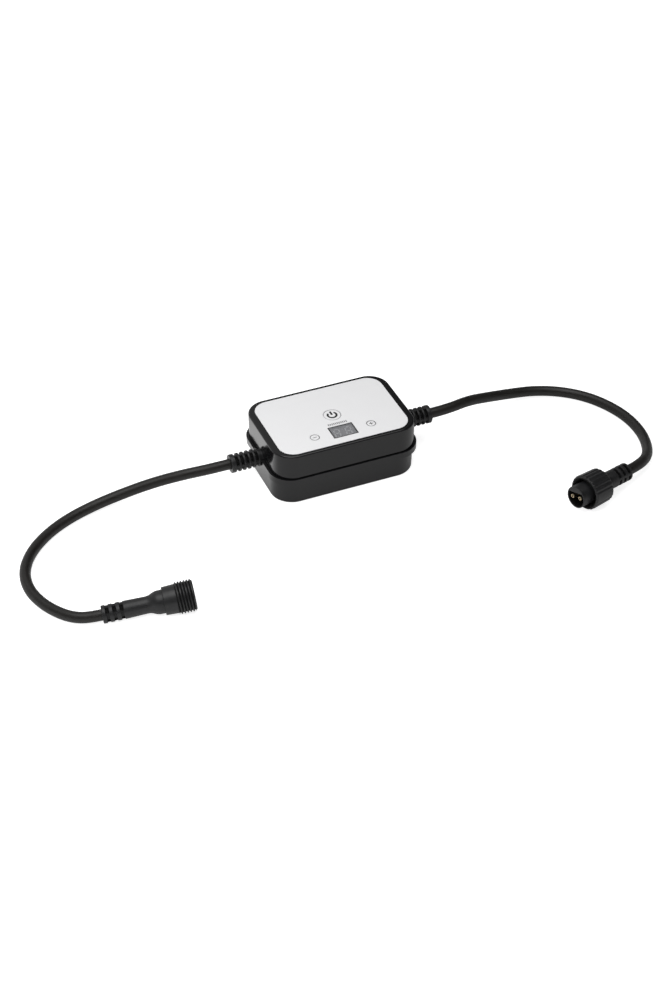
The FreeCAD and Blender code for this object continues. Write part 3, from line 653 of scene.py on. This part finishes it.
@dataclass(frozen=True)
class SlottedSleeve:
    """Ribbed stretch of a sleeve: rings of gaps between ribs, bridged by four webs lengthwise.

    Stations and radii are in metres. The webs' turn, half width and blur are in degrees, and the
    margins say how far before the first gap and after the last one the webs still show.
    """

    first: float
    pitch: float
    width: float
    count: int
    ridge: float
    core: float
    web_height: float
    web_turn: float
    web_half: float
    web_blur: float
    rib_round: float
    floor_round: float = 0.0003
    margins: Pair = (0.0002, 0.0002)

    def corners(self) -> list[Point]:
        """Station, radius and round of each corner, down into each gap and up again."""
        corners: list[Point] = []
        for step in range(self.count):
            start = self.first + step * self.pitch
            corners += [(start, self.ridge, self.rib_round), (start, self.core, self.floor_round),
                        (start + self.width, self.core, self.floor_round),
                        (start + self.width, self.ridge, self.rib_round)]
        return corners

    def carried_round(self, outline: Array, angles: Array) -> tuple[Array, Array]:
        """Radii of an outline at each angle, with the gaps' floors raised at the webs.

        Inside the ribbed stretch the depth below the ridge, ridge - r, is scaled so that the
        gap's floor rises from the core to the web's height where the web is 1.

        Args:
            outline: Points as (station, radius), with gaps down to the core.
            angles: The angles, in radians.

        Returns:
            Radius at each point of the outline and each angle, and how deep it lies in a gap, which sets
            the painted shade there.
        """
        station, radius = outline[:, 0], outline[:, 1]
        end = self.first + (self.count - 1) * self.pitch + self.width + self.margins[1]
        ribbed = (station > self.first - self.margins[0]) & (station < end)
        ribbed &= radius > self.core - 1e-5
        quarters = [self.web_turn + 90 * quarter for quarter in range(4)]
        web = swells(angles, quarters, self.web_half, self.web_blur)
        full = self.ridge - self.core
        share = 1 - web * (self.web_height - self.core) / full
        depth = np.where(ribbed, np.maximum(self.ridge - radius, 0), 0)
        # The eased depth is the share of painted shade in the gaps.
        shade_by_depth = smooth_step(depth[:, None] * share / (0.5 * full))
        return radius[:, None] + depth[:, None] * (1 - share), shade_by_depth


def thread_wave(stations: Array, angles: Array, reach: Pair, pitch: float, fade: float) -> Array:
    """Height of a right-hand screw thread above its root, from 0 to 1.

    The phase is station / pitch - angle / a full turn, and the ridge is a steep-sided trapezoid
    of that phase. It fades in and out at both ends of the threaded stretch.

    Args:
        stations: Stations to read it at.
        angles: Angles to read it at, in radians.
        reach: Where the thread starts and ends.
        pitch: Distance from ridge to ridge.
        fade: Length of the fade at each end.

    Returns:
        Heights in an array of stations by angles.
    """
    phase = (stations[:, None] / pitch - angles / (2 * np.pi)) % 1
    tent, foot, slope = 1 - np.abs(2 * phase - 1), 0.3, 0.35
    held = smooth_step((stations - reach[0]) / fade) * smooth_step((reach[1] - stations) / fade)
    return smooth_step((tent - foot) / slope) * held[:, None]


def flat_band(path: Array, width: float, low: float, high: float) -> Array:
    """Rings of a flat band that follows a path on the panel.

    Each ring has four corners, half the width to either side of the path, along the path's
    normal, at the lower and the upper height.

    Args:
        path: Points of the path, as (x, y).
        width: Width of the band.
        low: Height of its underside.
        high: Height of its top.

    Returns:
        Points in an array of places by 4 by 3.
    """
    heading = np.gradient(path, axis=0)
    heading /= np.linalg.norm(heading, axis=1)[:, None]
    left = np.stack([-heading[:, 1], heading[:, 0]], axis=-1) * width / 2
    corners = [(-1, low), (1, low), (1, high), (-1, high)]
    return np.stack([np.column_stack([path + side * left, np.full(len(path), height)])
                     for side, height in corners], axis=1)


# ---- cables


@dataclass
class FreeCable:
    """A free cable: a round sheath along one smooth curve, from its gland to its connector."""

    side: str
    points: Sequence[Point]
    length: float
    diameter: float = 0.0063
    curve: Piece | None = None

    def build(self) -> None:
        """Lay the cable as one open spline along its listed control points."""
        data = bpy.data.curves.new(f"{self.side}_sheath", "CURVE")
        data.dimensions = "3D"
        data.resolution_u = 20
        data.bevel_depth = self.diameter / 2
        data.bevel_resolution = 8
        data.use_fill_caps = True
        spline = data.splines.new("NURBS")
        spline.points.add(len(self.points) - 1)
        rows = np.column_stack([np.array(self.points), np.ones(len(self.points))])
        spline.points.foreach_set("co", rows.ravel())
        spline.order_u = 3
        spline.use_endpoint_u = True
        self.curve = linked(data.name, data)
        settle(self.curve, EXTRUDED_SHEATH, "cable", [f"{self.side}_cable"])

    def declare(self, connector: Sequence[Piece | str]) -> None:
        """Say what the cable is, once the pieces of its connector exist."""
        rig.cord(self.curve, exit=self.points[0], length=self.length, diameter=self.diameter,
                far_end="connector", stiffness="medium", lay="loose", with_pieces=connector)


LEFT_ROUTE: tuple[Point, ...] = (
    (-0.0635, 0.0, 0.0176), (-0.0755, 0.0, 0.0176), (-0.0915, 0.0034, 0.0157),
    (-0.108, 0.0078, 0.0118), (-0.125, 0.0105, 0.0074), (-0.142, 0.0104, 0.0043),
    (-0.1585, 0.006, 0.0033), (-0.1736, -0.0022, 0.0032), (-0.1866, -0.014, 0.0032),
    (-0.1949, -0.0282, 0.0032), (-0.1968, -0.0433, 0.0032), (-0.1935, -0.0569, 0.0032),
    (-0.1879, -0.0672, 0.0032), (-0.1818, -0.075, 0.0037), (-0.174235, -0.079576, 0.004185),
    (-0.1664, -0.081, 0.004947))
RIGHT_ROUTE: tuple[Point, ...] = (
    (0.0635, 0.0, 0.0176), (0.0755, 0.0, 0.0176), (0.092, 0.0049, 0.016),
    (0.108, 0.0089, 0.0116), (0.125, 0.0122, 0.0073), (0.1415, 0.0123, 0.0049),
    (0.1568, 0.0072, 0.0035), (0.1694, -0.0034, 0.0032), (0.1779, -0.0178, 0.0032),
    (0.1824, -0.0335, 0.0032), (0.1824, -0.0488, 0.0032), (0.1783, -0.0626, 0.0042),
    (0.171, -0.075, 0.0068), (0.160235, -0.083438, 0.009489), (0.149668, -0.086468, 0.009873))


# ---- glands


@dataclass
class GlandBoot:
    """Ribbed gland: flange inside the wall, base disc, ribs on a core with webs, end collar."""

    side: str
    seat: Seat
    ribs: SlottedSleeve = SlottedSleeve(
        first=0.0470, pitch=0.0030, width=0.0018, count=5, ridge=0.0055, core=0.0034,
        web_height=0.0051, web_turn=0, web_half=9, web_blur=4, rib_round=0.0003)
    bore: float = 0.00325
    flange_radius: float = 0.0061
    neck: float = 0.0045
    inside: Pair = (0.0394, 0.0410)
    wall: float = 0.0461
    end: float = 0.0635
    columns: int = 144

    def build(self) -> None:
        """Carry the ribbed outline round the axis, with webs on top, below and at both sides."""
        ridge = self.ribs.ridge
        outline = rounded([
            (self.inside[0], self.flange_radius, 0.0002),
            (self.inside[1], self.flange_radius, 0.0002), (self.inside[1], self.neck, 0.0001),
            (self.wall, self.neck, 0.0001), (self.wall, ridge, 0.0003), *self.ribs.corners(),
            (self.end, ridge, 0.0006), (self.end, self.bore, 0.0002),
            (self.inside[0], self.bore, 0.0001)], closed=True)
        angles = turn_angles(self.columns)
        # The slots between the ribs get painted shade by their depth.
        radii, shade_by_depth = self.ribs.carried_round(outline, angles)
        name = f"{self.side}_gland"
        boot = turned(f"{name}_boot", self.seat, outline[:, 0], radii, angles, True, shade_by_depth)
        settle(boot, SATIN_PVC, "gland", [name])


# ---- socket half


@dataclass
class SocketHalf:
    """Socket half: overmoulded body with a ringed relief, and a threaded shell."""

    seat: Seat = Seat((-0.1664, -0.0810, 0.00494745), yaw=-10.3, tilt=-5.4706)
    relief: SlottedSleeve = SlottedSleeve(
        first=0.0022, pitch=0.0039, width=0.0017, count=3, ridge=0.00495, core=0.0033,
        web_height=0.0045, web_turn=70, web_half=20, web_blur=9, rib_round=0.0005,
        margins=(0.0002, 0.0001))
    neck_end: float = 0.0256
    neck: float = 0.00465
    swell_start: float = 0.0294
    swell: float = 0.0065
    collar_start: float = 0.0333
    collar: float = 0.00765
    back_hole: float = 0.0062
    bore_start: float = 0.0342
    thread_start: float = 0.0402
    mouth: float = 0.0502
    thread_root: float = 0.0080
    thread_depth: float = 0.0008
    thread_pitch: float = 0.0016
    thread_fade: float = 0.0003
    lip: float = 0.0004
    bore: float = 0.0068
    spacing: float = 0.00014
    columns: int = 144

    def build_overmould(self) -> Piece:
        """Body from the cable end to the collar: rings with webs, long taper, swell.

        Returns:
            The overmoulded body.
        """
        ridge = self.relief.ridge
        outline = rounded([
            (0.0, 0.0, 0.0), (0.0, ridge, 0.0005), *self.relief.corners(),
            (self.neck_end, self.neck, 0.003), (self.swell_start, self.swell, 0.002),
            (self.collar_start, self.swell, 0.0001), (self.collar_start, 0.0, 0.0)],
            closed=False, steps=8)
        angles = turn_angles(self.columns)
        # The relief's gaps get painted shade by their depth.
        radii, shade_by_depth = self.relief.carried_round(outline, angles)
        body = turned(
            "socket_overmould", self.seat, outline[1:-1, 0], radii[1:-1], angles, False, shade_by_depth[1:-1])
        return settle(body, SATIN_PVC, "connector", ["socket_body"])

    def build_shell(self) -> Piece:
        """Back wall, flared collar, helical thread and bore, carried round the axis.

        Returns:
            The threaded shell.
        """
        corners = [
            (self.collar_start, self.collar, 0.0003), (self.thread_start, self.thread_root, 0.0002),
            (self.mouth, self.thread_root, 0.0003), (self.mouth, self.bore, 0.0003),
            (self.bore_start, self.bore, 0.0001), (self.bore_start, self.back_hole, 0.0001),
            (self.collar_start, self.back_hole, 0.0001)]
        outline = refined(rounded(corners, closed=True), self.spacing)
        angles = turn_angles(self.columns)
        outside = (outline[:, 1] > (self.bore + self.thread_root) / 2)[:, None]
        station = outline[:, 0]
        end = self.mouth - self.lip
        wave = thread_wave(
            station, angles, (self.thread_start, end), self.thread_pitch, self.thread_fade)
        radii = outline[:, 1:] + np.where(outside, wave * self.thread_depth, 0)
        threaded = (station > self.thread_start) & (station < end)
        # Painted shade in the roots of the thread and all over the inside of the shell.
        shade_by_depth = np.where(outside, (1 - wave) * threaded[:, None], station[:, None] < self.mouth)
        shell = turned("socket_threaded_shell", self.seat, station, radii, angles, True, shade_by_depth)
        return settle(shell, SATIN_NYLON, "connector", ["socket_shell"])


# ---- pin half


@dataclass
class PinHalf:
    """Pin half: body with a recessed spigot and a slotted relief, and the union nut on it.

    The seal's groove and the flange are given as start, end and radius, a pin as radius and bore,
    and its reach as the stations of its mouth, the bore's floor and its root.
    """

    seat: Seat = Seat((0.1098, -0.0979, 0.0113209), yaw=16.0, tilt=2.0, roll=-15.0)
    spigot: float = 0.0066
    recess: float = 0.0059
    flat: float = 0.0030
    recess_floor: float = 0.0172
    seal_groove: tuple[float, float, float] = (0.0147, 0.0159, 0.00635)
    flange: tuple[float, float, float] = (0.0159, 0.0183, 0.0076)
    neck: float = 0.0050
    neck_end: float = 0.0211
    slots: SlottedSleeve = SlottedSleeve(
        first=0.0306, pitch=0.00375, width=0.0018, count=3, ridge=0.0054, core=0.0033,
        web_height=0.0054, web_turn=85, web_half=7, web_blur=3, rib_round=0.0002)
    end: float = 0.0415
    pin_spacing: float = 0.0058
    pin: Pair = (0.00115, 0.0007)
    pin_reach: tuple[float, float, float] = (0.0003, 0.0063, 0.0232)
    nut_front: float = 0.0069
    nut_back: float = 0.0209
    nut_wall: float = 0.0024
    nut_radius: float = 0.01015
    nut_back_radius: float = 0.0097
    pad_proud: float = 0.0004
    ridge_proud: float = 0.00034
    ridge_pitch: float = 15.8
    ridges: int = 5
    groups: tuple[float, ...] = (7, 127, 247)
    pad_widths: Pair = (16.5, 2.5)
    ridge_widths: Pair = (1.5, 5.0)
    nut_round: float = 0.0009
    grip_fade: float = 0.0008
    nut_hole: float = 0.0052
    nut_root: float = 0.0090
    nut_crest: float = 0.0082
    thread_length: float = 0.0100
    thread_pitch: float = 0.0016
    thread_fade: float = 0.0006
    spacing: float = 0.0002
    columns: int = 180
    nut_columns: int = 300
    pin_columns: int = 48

    def build_overmould(self) -> Piece:
        """Body from the floor of its recess, out over the spigot and back to the cable end.

        The recess is a circle with one flat on top: its radius at an angle is the smaller of the
        circle's and flat / sin angle. Its lip widens over its last points.

        Returns:
            The overmoulded body.
        """
        angles = turn_angles(self.columns)
        rise = np.maximum(np.sin(angles), 1e-3)
        recess = np.minimum(self.recess, self.flat / rise)
        groove_start, groove_end, groove = self.seal_groove
        flange_start, flange_end, flange = self.flange
        body = self.slots.ridge
        outline = rounded([
            (0.0, self.spigot - 0.0005, 0.0), (0.0, self.spigot, 0.0004),
            (groove_start, self.spigot, 0.0001), (groove_start, groove, 0.00005),
            (groove_end, groove, 0.00005), (flange_start, flange, 0.0002),
            (flange_end, flange, 0.0002), (flange_end, self.neck, 0.0001),
            (self.neck_end, self.neck, 0.0001), (self.neck_end, body, 0.0001),
            *self.slots.corners(), (self.end, body, 0.0012), (self.end, 0.0, 0.0)], closed=False)
        # The slots get painted shade by their depth.
        outer, shade_by_depth = self.slots.carried_round(outline, angles)
        lip = np.array([(self.recess_floor, 0.0), (0.00025, 0.0), (0.00008, 0.00006),
                        (0.0, 0.0002)])
        stations = np.concatenate([lip[:, 0], outline[:-1, 0]])
        radii = np.vstack([recess + lip[:, 1:], outer[:-1]])
        # Painted shade inside the recess, up to its widening lip.
        recess_shade = (lip[:, 1:] == 0) * np.ones(self.columns)
        shell = turned("pin_overmould", self.seat, stations, radii, angles, False,
                       np.vstack([recess_shade, shade_by_depth[:-1]]))
        return settle(shell, SATIN_PVC, "connector", ["plug_body"])

    def build_pins(self) -> list[Piece]:
        """Two hollow pins side by side, each with a rounded mouth and a blind bore.

        Returns:
            The pins.
        """
        radius, bore = self.pin
        mouth, floor, root = self.pin_reach
        outline = rounded([(floor, 0.0, 0.0), (floor, bore, 0.0002), (mouth, bore, 0.0001),
                           (mouth, radius, 0.0002), (root, radius, 0.0001), (root, 0.0, 0.0)],
                          closed=False)[1:-1]
        pins = []
        for side in (-1, 1):
            middle = self.seat.place(np.array([0.0, side * self.pin_spacing / 2, 0.0]))
            pin = turned(f"contact_pin_{side + 1}", replace(self.seat, origin=tuple(middle)),
                         outline[:, 0], outline[:, 1:], turn_angles(self.pin_columns), False)
            pins.append(settle(pin, TURNED_BRASS, "brass", ["plug_pins"]))
        return pins

    def grip(self, angles: Array) -> Array:
        """Relief of the nut's grip: three smooth pads, and fine ridges in the gaps between them.

        Args:
            angles: Angles to read it at, in radians.

        Returns:
            Height above the barrel at each angle, in metres.
        """
        reach = self.ridge_pitch * (self.ridges - 1) / 2
        ridges = [group + shift for group in self.groups
                  for shift in np.linspace(-reach, reach, self.ridges)]
        between = [group + 180 / len(self.groups) for group in self.groups]
        return np.maximum(self.pad_proud * swells(angles, between, *self.pad_widths),
                          self.ridge_proud * swells(angles, ridges, *self.ridge_widths))

    def build_nut(self) -> Piece:
        """Union nut: one closed outline with grip pads outside and a helical thread inside.

        Returns:
            The nut.
        """
        floor = self.nut_back - self.nut_wall
        corners = [(self.nut_front, self.nut_radius, self.nut_round),
                   (self.nut_back, self.nut_back_radius, self.nut_round),
                   (self.nut_back, self.nut_hole, 0.0003), (floor, self.nut_hole, 0.0001),
                   (floor, self.nut_root, 0.0002), (self.nut_front, self.nut_root, 0.0003)]
        outline = refined(rounded(corners, closed=True), self.spacing)
        angles = turn_angles(self.nut_columns)
        station, radius = outline[:, 0], outline[:, 1]
        outside = radius > (self.nut_root + self.nut_back_radius) / 2
        bored = (np.abs(radius - self.nut_root) < self.spacing) & ~outside
        held = smooth_step((station - self.nut_front) / self.grip_fade) * outside
        held = held * smooth_step((self.nut_back - station) / self.grip_fade)
        reach = (self.nut_front, self.nut_front + self.thread_length)
        wave = thread_wave(station, angles, reach, self.thread_pitch, self.thread_fade)
        radii = radius[:, None] + held[:, None] * self.grip(angles)
        radii = radii - wave * bored[:, None] * (self.nut_root - self.nut_crest)
        # Painted shade all over the inside of the nut.
        shade_by_depth = np.broadcast_to((~outside & (station < self.nut_back))[:, None], radii.shape)
        nut = turned("union_nut_moulding", self.seat, station, radii, angles, True, shade_by_depth)
        return settle(nut, SATIN_NYLON, "nut", ["union_nut"], Body.NUT)


# ---- control panel


class Sign(Enum):
    """What is printed on a key."""

    POWER = "power"
    MINUS = "minus"
    PLUS = "plus"


@dataclass
class PanelKey:
    """A key of the panel: a film disc in its hole, with a printed ring and sign.

    The sizes and inks given here are those of the two small keys.
    """

    sign: Sign
    x: float
    y: float
    radius: float = 0.00285
    ring_width: float = 0.00034
    sign_width: float = 0.00042
    sign_size: float = 0.0025
    ring_ink: Finish = DARK_GREY_INK
    sign_ink: Finish = DARK_GREY_INK
    bottom: float = 0.03375
    top: float = 0.03446
    print_top: float = 0.03449
    print_lap: float = 0.00001
    ring_inset: float = 0.00012
    power_gap: float = 40.0
    bar_ends: Pair = (0.0002, 0.0003)
    columns: int = 96

    def build(self) -> None:
        """Make the disc, its ring and its sign."""
        seat = Seat((self.x, self.y, 0.0), tilt=-90)
        angles = turn_angles(self.columns)
        cap = rounded([(self.bottom, 0.0, 0.0), (self.bottom, self.radius, 0.00005),
                       (self.top, self.radius, 0.00008), (self.top, 0.0, 0.0)], closed=False)
        name = self.sign.value
        body = Body(f"{name}_button")
        disc = turned(f"{name}_key_disc", seat, cap[1:-1, 0], cap[1:-1, 1:], angles, False)
        settle(disc, KEY_FILM, "key", [f"{name}_key"], body)
        low = self.top - self.print_lap
        reach = self.radius - self.ring_inset
        inner = reach - self.ring_width
        loop = np.array([(low, reach), (self.print_top, reach), (self.print_top, inner),
                         (low, inner)])
        ring = turned(f"{name}_ring", seat, loop[:, 0], loop[:, 1:], angles, True)
        settle(ring, self.ring_ink, "digit", body=body)
        for number, path in enumerate(self.strokes()):
            band = flat_band(
                path + np.array([self.x, self.y]), self.sign_width, low, self.print_top)
            stroke = skin(f"{name}_sign_{number}", band, looped=False)
            settle(stroke, self.sign_ink, "digit", body=body)

    def strokes(self) -> list[Array]:
        """Paths of the sign's strokes, from the middle of the key.

        The power sign is an arc with a gap on top, in degrees to either side, and a bar that runs
        from just above the middle to just past the arc.

        Returns:
            One path for each stroke, as (x, y) points.
        """
        reach = self.sign_size / 2
        across = np.array([(-reach, 0.0), (0.0, 0.0), (reach, 0.0)])
        if self.sign is Sign.MINUS:
            return [across]
        if self.sign is Sign.PLUS:
            half = np.linspace(self.sign_width / 2, reach, 3)
            arm = np.stack([np.zeros(3), half], axis=-1)
            return [across, arm, -arm]
        sweep = np.radians(np.linspace(90 + self.power_gap, 450 - self.power_gap, 60))
        radius = reach - self.sign_width / 2
        arc = np.stack([radius * np.cos(sweep), radius * np.sin(sweep)], axis=-1)
        start, past = self.bar_ends
        bar = np.stack([np.zeros(3), np.linspace(start, reach + past, 3)], axis=-1)
        return [arc, bar]


@dataclass
class ControlPanel:
    """The keys of the panel and what is printed on them."""

    middle_x: float = 0.0006
    row_y: float = -0.0163
    side_reach: float = 0.0176

    def build(self) -> None:
        """Make the three keys."""
        PanelKey(
            Sign.POWER, self.middle_x, 0.0, radius=0.0053, ring_width=0.00028, sign_width=0.0012,
            sign_size=0.0064, ring_ink=GREY_INK, sign_ink=BLACK_INK).build()
        for sign, side in ((Sign.MINUS, -1), (Sign.PLUS, 1)):
            PanelKey(sign, self.middle_x + side * self.side_reach, self.row_y).build()


# ---- pieces kept from the frame


CARRIED_OVER: dict[Finish, tuple[str, ...]] = {
    POLISHED_ABS: ("top_case", "bottom_case"),
    PRINTED_FILM: ("face_panel",),
    SILICONE: ("case_seal", "plug_seal"),
    ZINC_STEEL: ("case_screws", "board_screws", "board_terminals"),
    WINDOW_BORDER: ("window_frame",),
    SMOKED_ACRYLIC: ("display_window",),
    DISPLAY_FACE: ("display_module",),
    DISPLAY_BAR: ("display_digits",),
    EPOXY_BLACK: ("switch_bodies", "controller_chip", "power_transistors"),
    LAMINATE: ("main_board",),
    DRAWN_ALUMINIUM: ("smoothing_capacitor",),
    FERRITE: ("choke",),
    EXTRUDED_SHEATH: ("right_cable_tail", "left_cable_tail"),
    WIRE_INSULATION: ("right_leads", "left_leads"),
    NATURAL_NYLON: tuple(f"{key.value}_{part}" for key in Sign
                         for part in ("plunger", "switch_button")),
    MATT_NYLON: ("socket_insert", "pin_carrier"),
    TURNED_BRASS: ("socket_contacts",),
}


def dress_frame() -> None:
    """Give every node that stays visible its finish."""
    for finish, names in CARRIED_OVER.items():
        for name in names:
            for place in frame["nodes"][name].material_slots:
                place.material = material_of(finish)
        log.info("dressed %s in %s", ", ".join(names), finish.name)


# ---- studio


def aimed(place: Point, back: Sequence[float], roll: float = 0.0) -> Matrix:
    """Placing of a camera or lamp that looks against its back axis.

    Its right axis lies level, and then the right and the upper one turn by the roll.

    Args:
        place: Where it stands.
        back: Its back axis, of any length.
        roll: The roll, in radians.

    Returns:
        Its matrix.
    """
    back = np.array(back) / np.linalg.norm(back)
    right = np.cross([0, 0, 1], back)
    right /= np.linalg.norm(right)
    up = np.cross(back, right)
    placed = np.eye(4)
    placed[:3] = np.column_stack([right * math.cos(roll) + up * math.sin(roll),
                                  up * math.cos(roll) - right * math.sin(roll), back, place])
    return Matrix(placed.tolist())


@dataclass
class Studio:
    """Camera, floor, sky and lamp round the object."""

    camera_place: Point = (-0.33250, -0.78669, 0.65930)
    azimuth: float = -22.95
    elevation: float = 38.86
    roll: float = 0.07
    lens: float = 65.444
    floor_colour: str = "#CACACA"
    floor_glow: float = 0.80
    floor_mirrored: float = 0.03
    pool_place: Pair = (-0.066, 0.030)
    pool_core: float = 0.4
    pool_reach: float = 0.052
    pool_glow: float = 0.70
    soft_box: Point = (-0.02, -0.03, 0.999)
    soft_box_edge: Pair = (0.866, 0.946)
    soft_box_strength: float = 2.4
    floor_reach: float = 14.0
    floor_drop: float = 0.00005
    sky_left: float = 1.0
    sky_right: float = 0.45
    overhead_front: float = 0.12
    overhead_back: float = 0.46
    overhead_right: float = 0.04
    front_to_back: Pair = (-0.1, 0.6)
    right_edge: Pair = (0.25, 0.37)
    left_to_right: Pair = (-0.3, 0.7)
    horizon_edge: Pair = (0.04, 0.30)
    key_place: Point = (-0.34, -0.29, 0.47)
    key_side: float = 0.4
    key_watts: float = 3.0

    def set_camera(self) -> None:
        """Stand the camera where the photograph was taken from.

        Its back axis is (sin a cos e, -cos a cos e, sin e).
        """
        turn, lift, roll = (math.radians(value)
                            for value in (self.azimuth, self.elevation, self.roll))
        back = np.array([math.sin(turn) * math.cos(lift), -math.cos(turn) * math.cos(lift),
                         math.sin(lift)])
        data = bpy.data.cameras.new("camera")
        data.lens = self.lens
        camera = linked("camera", data)
        camera.matrix_world = aimed(self.camera_place, back, roll)
        bpy.context.scene.camera = camera

    def lay_floor(self) -> None:
        """Pale round floor that glows a little: more where it is looked at than where mirrored.

        A pool of light lies on it beside the left end of the box. The radii of its rings grow as
        the square of their number, so that it is fine near the object.
        """
        rows, columns = 12, 64
        angles = turn_angles(columns)
        radii = (np.linspace(0.02, 1, rows) ** 2 * self.floor_reach)[:, None]
        rings = np.stack([radii * np.cos(angles), radii * np.sin(angles),
                          np.full((rows, columns), -self.floor_drop)], axis=-1)
        faces = ring_faces(rows, columns, False)[:, ::-1].tolist() + [list(range(columns))]
        mesh = bpy.data.meshes.new("floor")
        mesh.from_pydata(rings.reshape(-1, 3).tolist(), [], faces)
        floor = linked("floor", mesh)
        material = bpy.data.materials.new("painted_board_floor")
        tree = bare_tree(material)
        path = node(tree, "ShaderNodeLightPath")
        seen = reckoned(
            tree, "MAXIMUM", path.outputs["Is Camera Ray"], path.outputs["Is Transmission Ray"])
        direct = reckoned(tree, "MULTIPLY", seen, self.floor_glow)
        spot = node(tree, "ShaderNodeTexCoord").outputs["Object"]
        apart = node(tree, "ShaderNodeVectorMath", {0: spot, 1: (*self.pool_place, 0.0)},
                     operation="DISTANCE").outputs["Value"]
        lit = (self.floor_mirrored + self.pool_glow, self.floor_mirrored)
        edge = (self.pool_core * self.pool_reach, self.pool_reach)
        pool = ramp(tree, apart, edge, lit, smooth=True)
        glow = reckoned(tree, "MULTIPLY_ADD", path.outputs["Is Glossy Ray"], pool, direct)
        paint = node(tree, "ShaderNodeBsdfDiffuse", {"Color": linear(self.floor_colour)})
        shine = node(tree, "ShaderNodeEmission", {"Strength": glow})
        both = node(tree, "ShaderNodeAddShader", {0: paint.outputs[0], 1: shine.outputs[0]})
        node(tree, "ShaderNodeOutputMaterial", {"Surface": both.outputs[0]})
        mesh.materials.append(material)
        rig.stage(floor)

    def hang_sky(self) -> None:
        """Studio surround: a pale horizon, a soft box overhead, and darker to the right.

        Its strength is worked out from the direction's x, y and z, and each change from one
        strength to the next runs over the stretch of its own field.
        """
        world = bpy.data.worlds.new("studio")
        bpy.context.scene.world = world
        tree = bare_tree(world)
        heading = node(tree, "ShaderNodeTexCoord").outputs["Generated"]
        split = node(tree, "ShaderNodeSeparateXYZ", {0: heading})
        across, height = split.outputs["X"], split.outputs["Z"]
        behind = ramp(
            tree, split.outputs["Y"], self.front_to_back, (self.overhead_front, self.overhead_back))
        overhead = ramp(tree, across, self.right_edge, (behind, self.overhead_right), smooth=True)
        horizon = ramp(tree, across, self.left_to_right, (self.sky_left, self.sky_right))
        low = ramp(tree, height, self.horizon_edge, (1.0, 0.0), smooth=True)
        plain = blended(tree, low, overhead, horizon)
        nearness = node(tree, "ShaderNodeVectorMath", {0: heading, 1: self.soft_box},
                        operation="DOT_PRODUCT").outputs["Value"]
        boxed = ramp(tree, nearness, self.soft_box_edge, (0.0, 1.0), smooth=True)
        strength = blended(tree, boxed, plain, self.soft_box_strength)
        sky = node(tree, "ShaderNodeBackground", {"Color": (1, 1, 1, 1), "Strength": strength})
        node(tree, "ShaderNodeOutputWorld", {"Surface": sky.outputs[0]})

    def hang_lamp(self) -> None:
        """One soft square lamp on the left at the front, aimed at the box and not mirrored."""
        data = bpy.data.lights.new("key_lamp", "AREA")
        data.shape = "SQUARE"
        data.size = self.key_side
        data.energy = self.key_watts
        lamp = linked("key_lamp", data)
        lamp.matrix_world = aimed(self.key_place, self.key_place)
        lamp.visible_glossy = False

    def build(self) -> None:
        """Set the camera and the light, and leave colours as they are."""
        self.set_camera()
        self.lay_floor()
        self.hang_sky()
        self.hang_lamp()
        bpy.context.scene.view_settings.view_transform = "Standard"


def corners_of(bounds: Sequence[Sequence[float]]) -> list[list[float]]:
    """Two corners as plain lists of numbers."""
    return [[float(value) for value in corner] for corner in bounds]


def main() -> None:
    """Build the studio, the cables, both connectors, the glands and the panel."""
    logging.basicConfig(level=logging.INFO, format="%(name)s: %(message)s")
    cad_box = corners_of(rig.bounds())
    Studio().build()
    left = FreeCable("left", LEFT_ROUTE, 0.2160)
    right = FreeCable("right", RIGHT_ROUTE, 0.2146)
    left.build()
    right.build()
    GlandBoot("left", Seat((0.0, 0.0, 0.0176), yaw=180)).build()
    GlandBoot("right", Seat((0.0, 0.0, 0.0176))).build()
    socket = SocketHalf()
    left.declare([socket.build_overmould(), socket.build_shell(), "socket_insert",
                  "socket_contacts"])
    pins = PinHalf()
    right.declare([pins.build_overmould(), pins.build_nut(), *pins.build_pins(), "pin_carrier",
                   "plug_seal"])
    ControlPanel().build()
    dress_frame()
    with open(SIZE_FILE, "w", encoding="utf-8") as out:
        json.dump({"cad_box": cad_box, "visual_box": corners_of(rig.bounds())}, out)


if __name__ == "__main__":
    main()
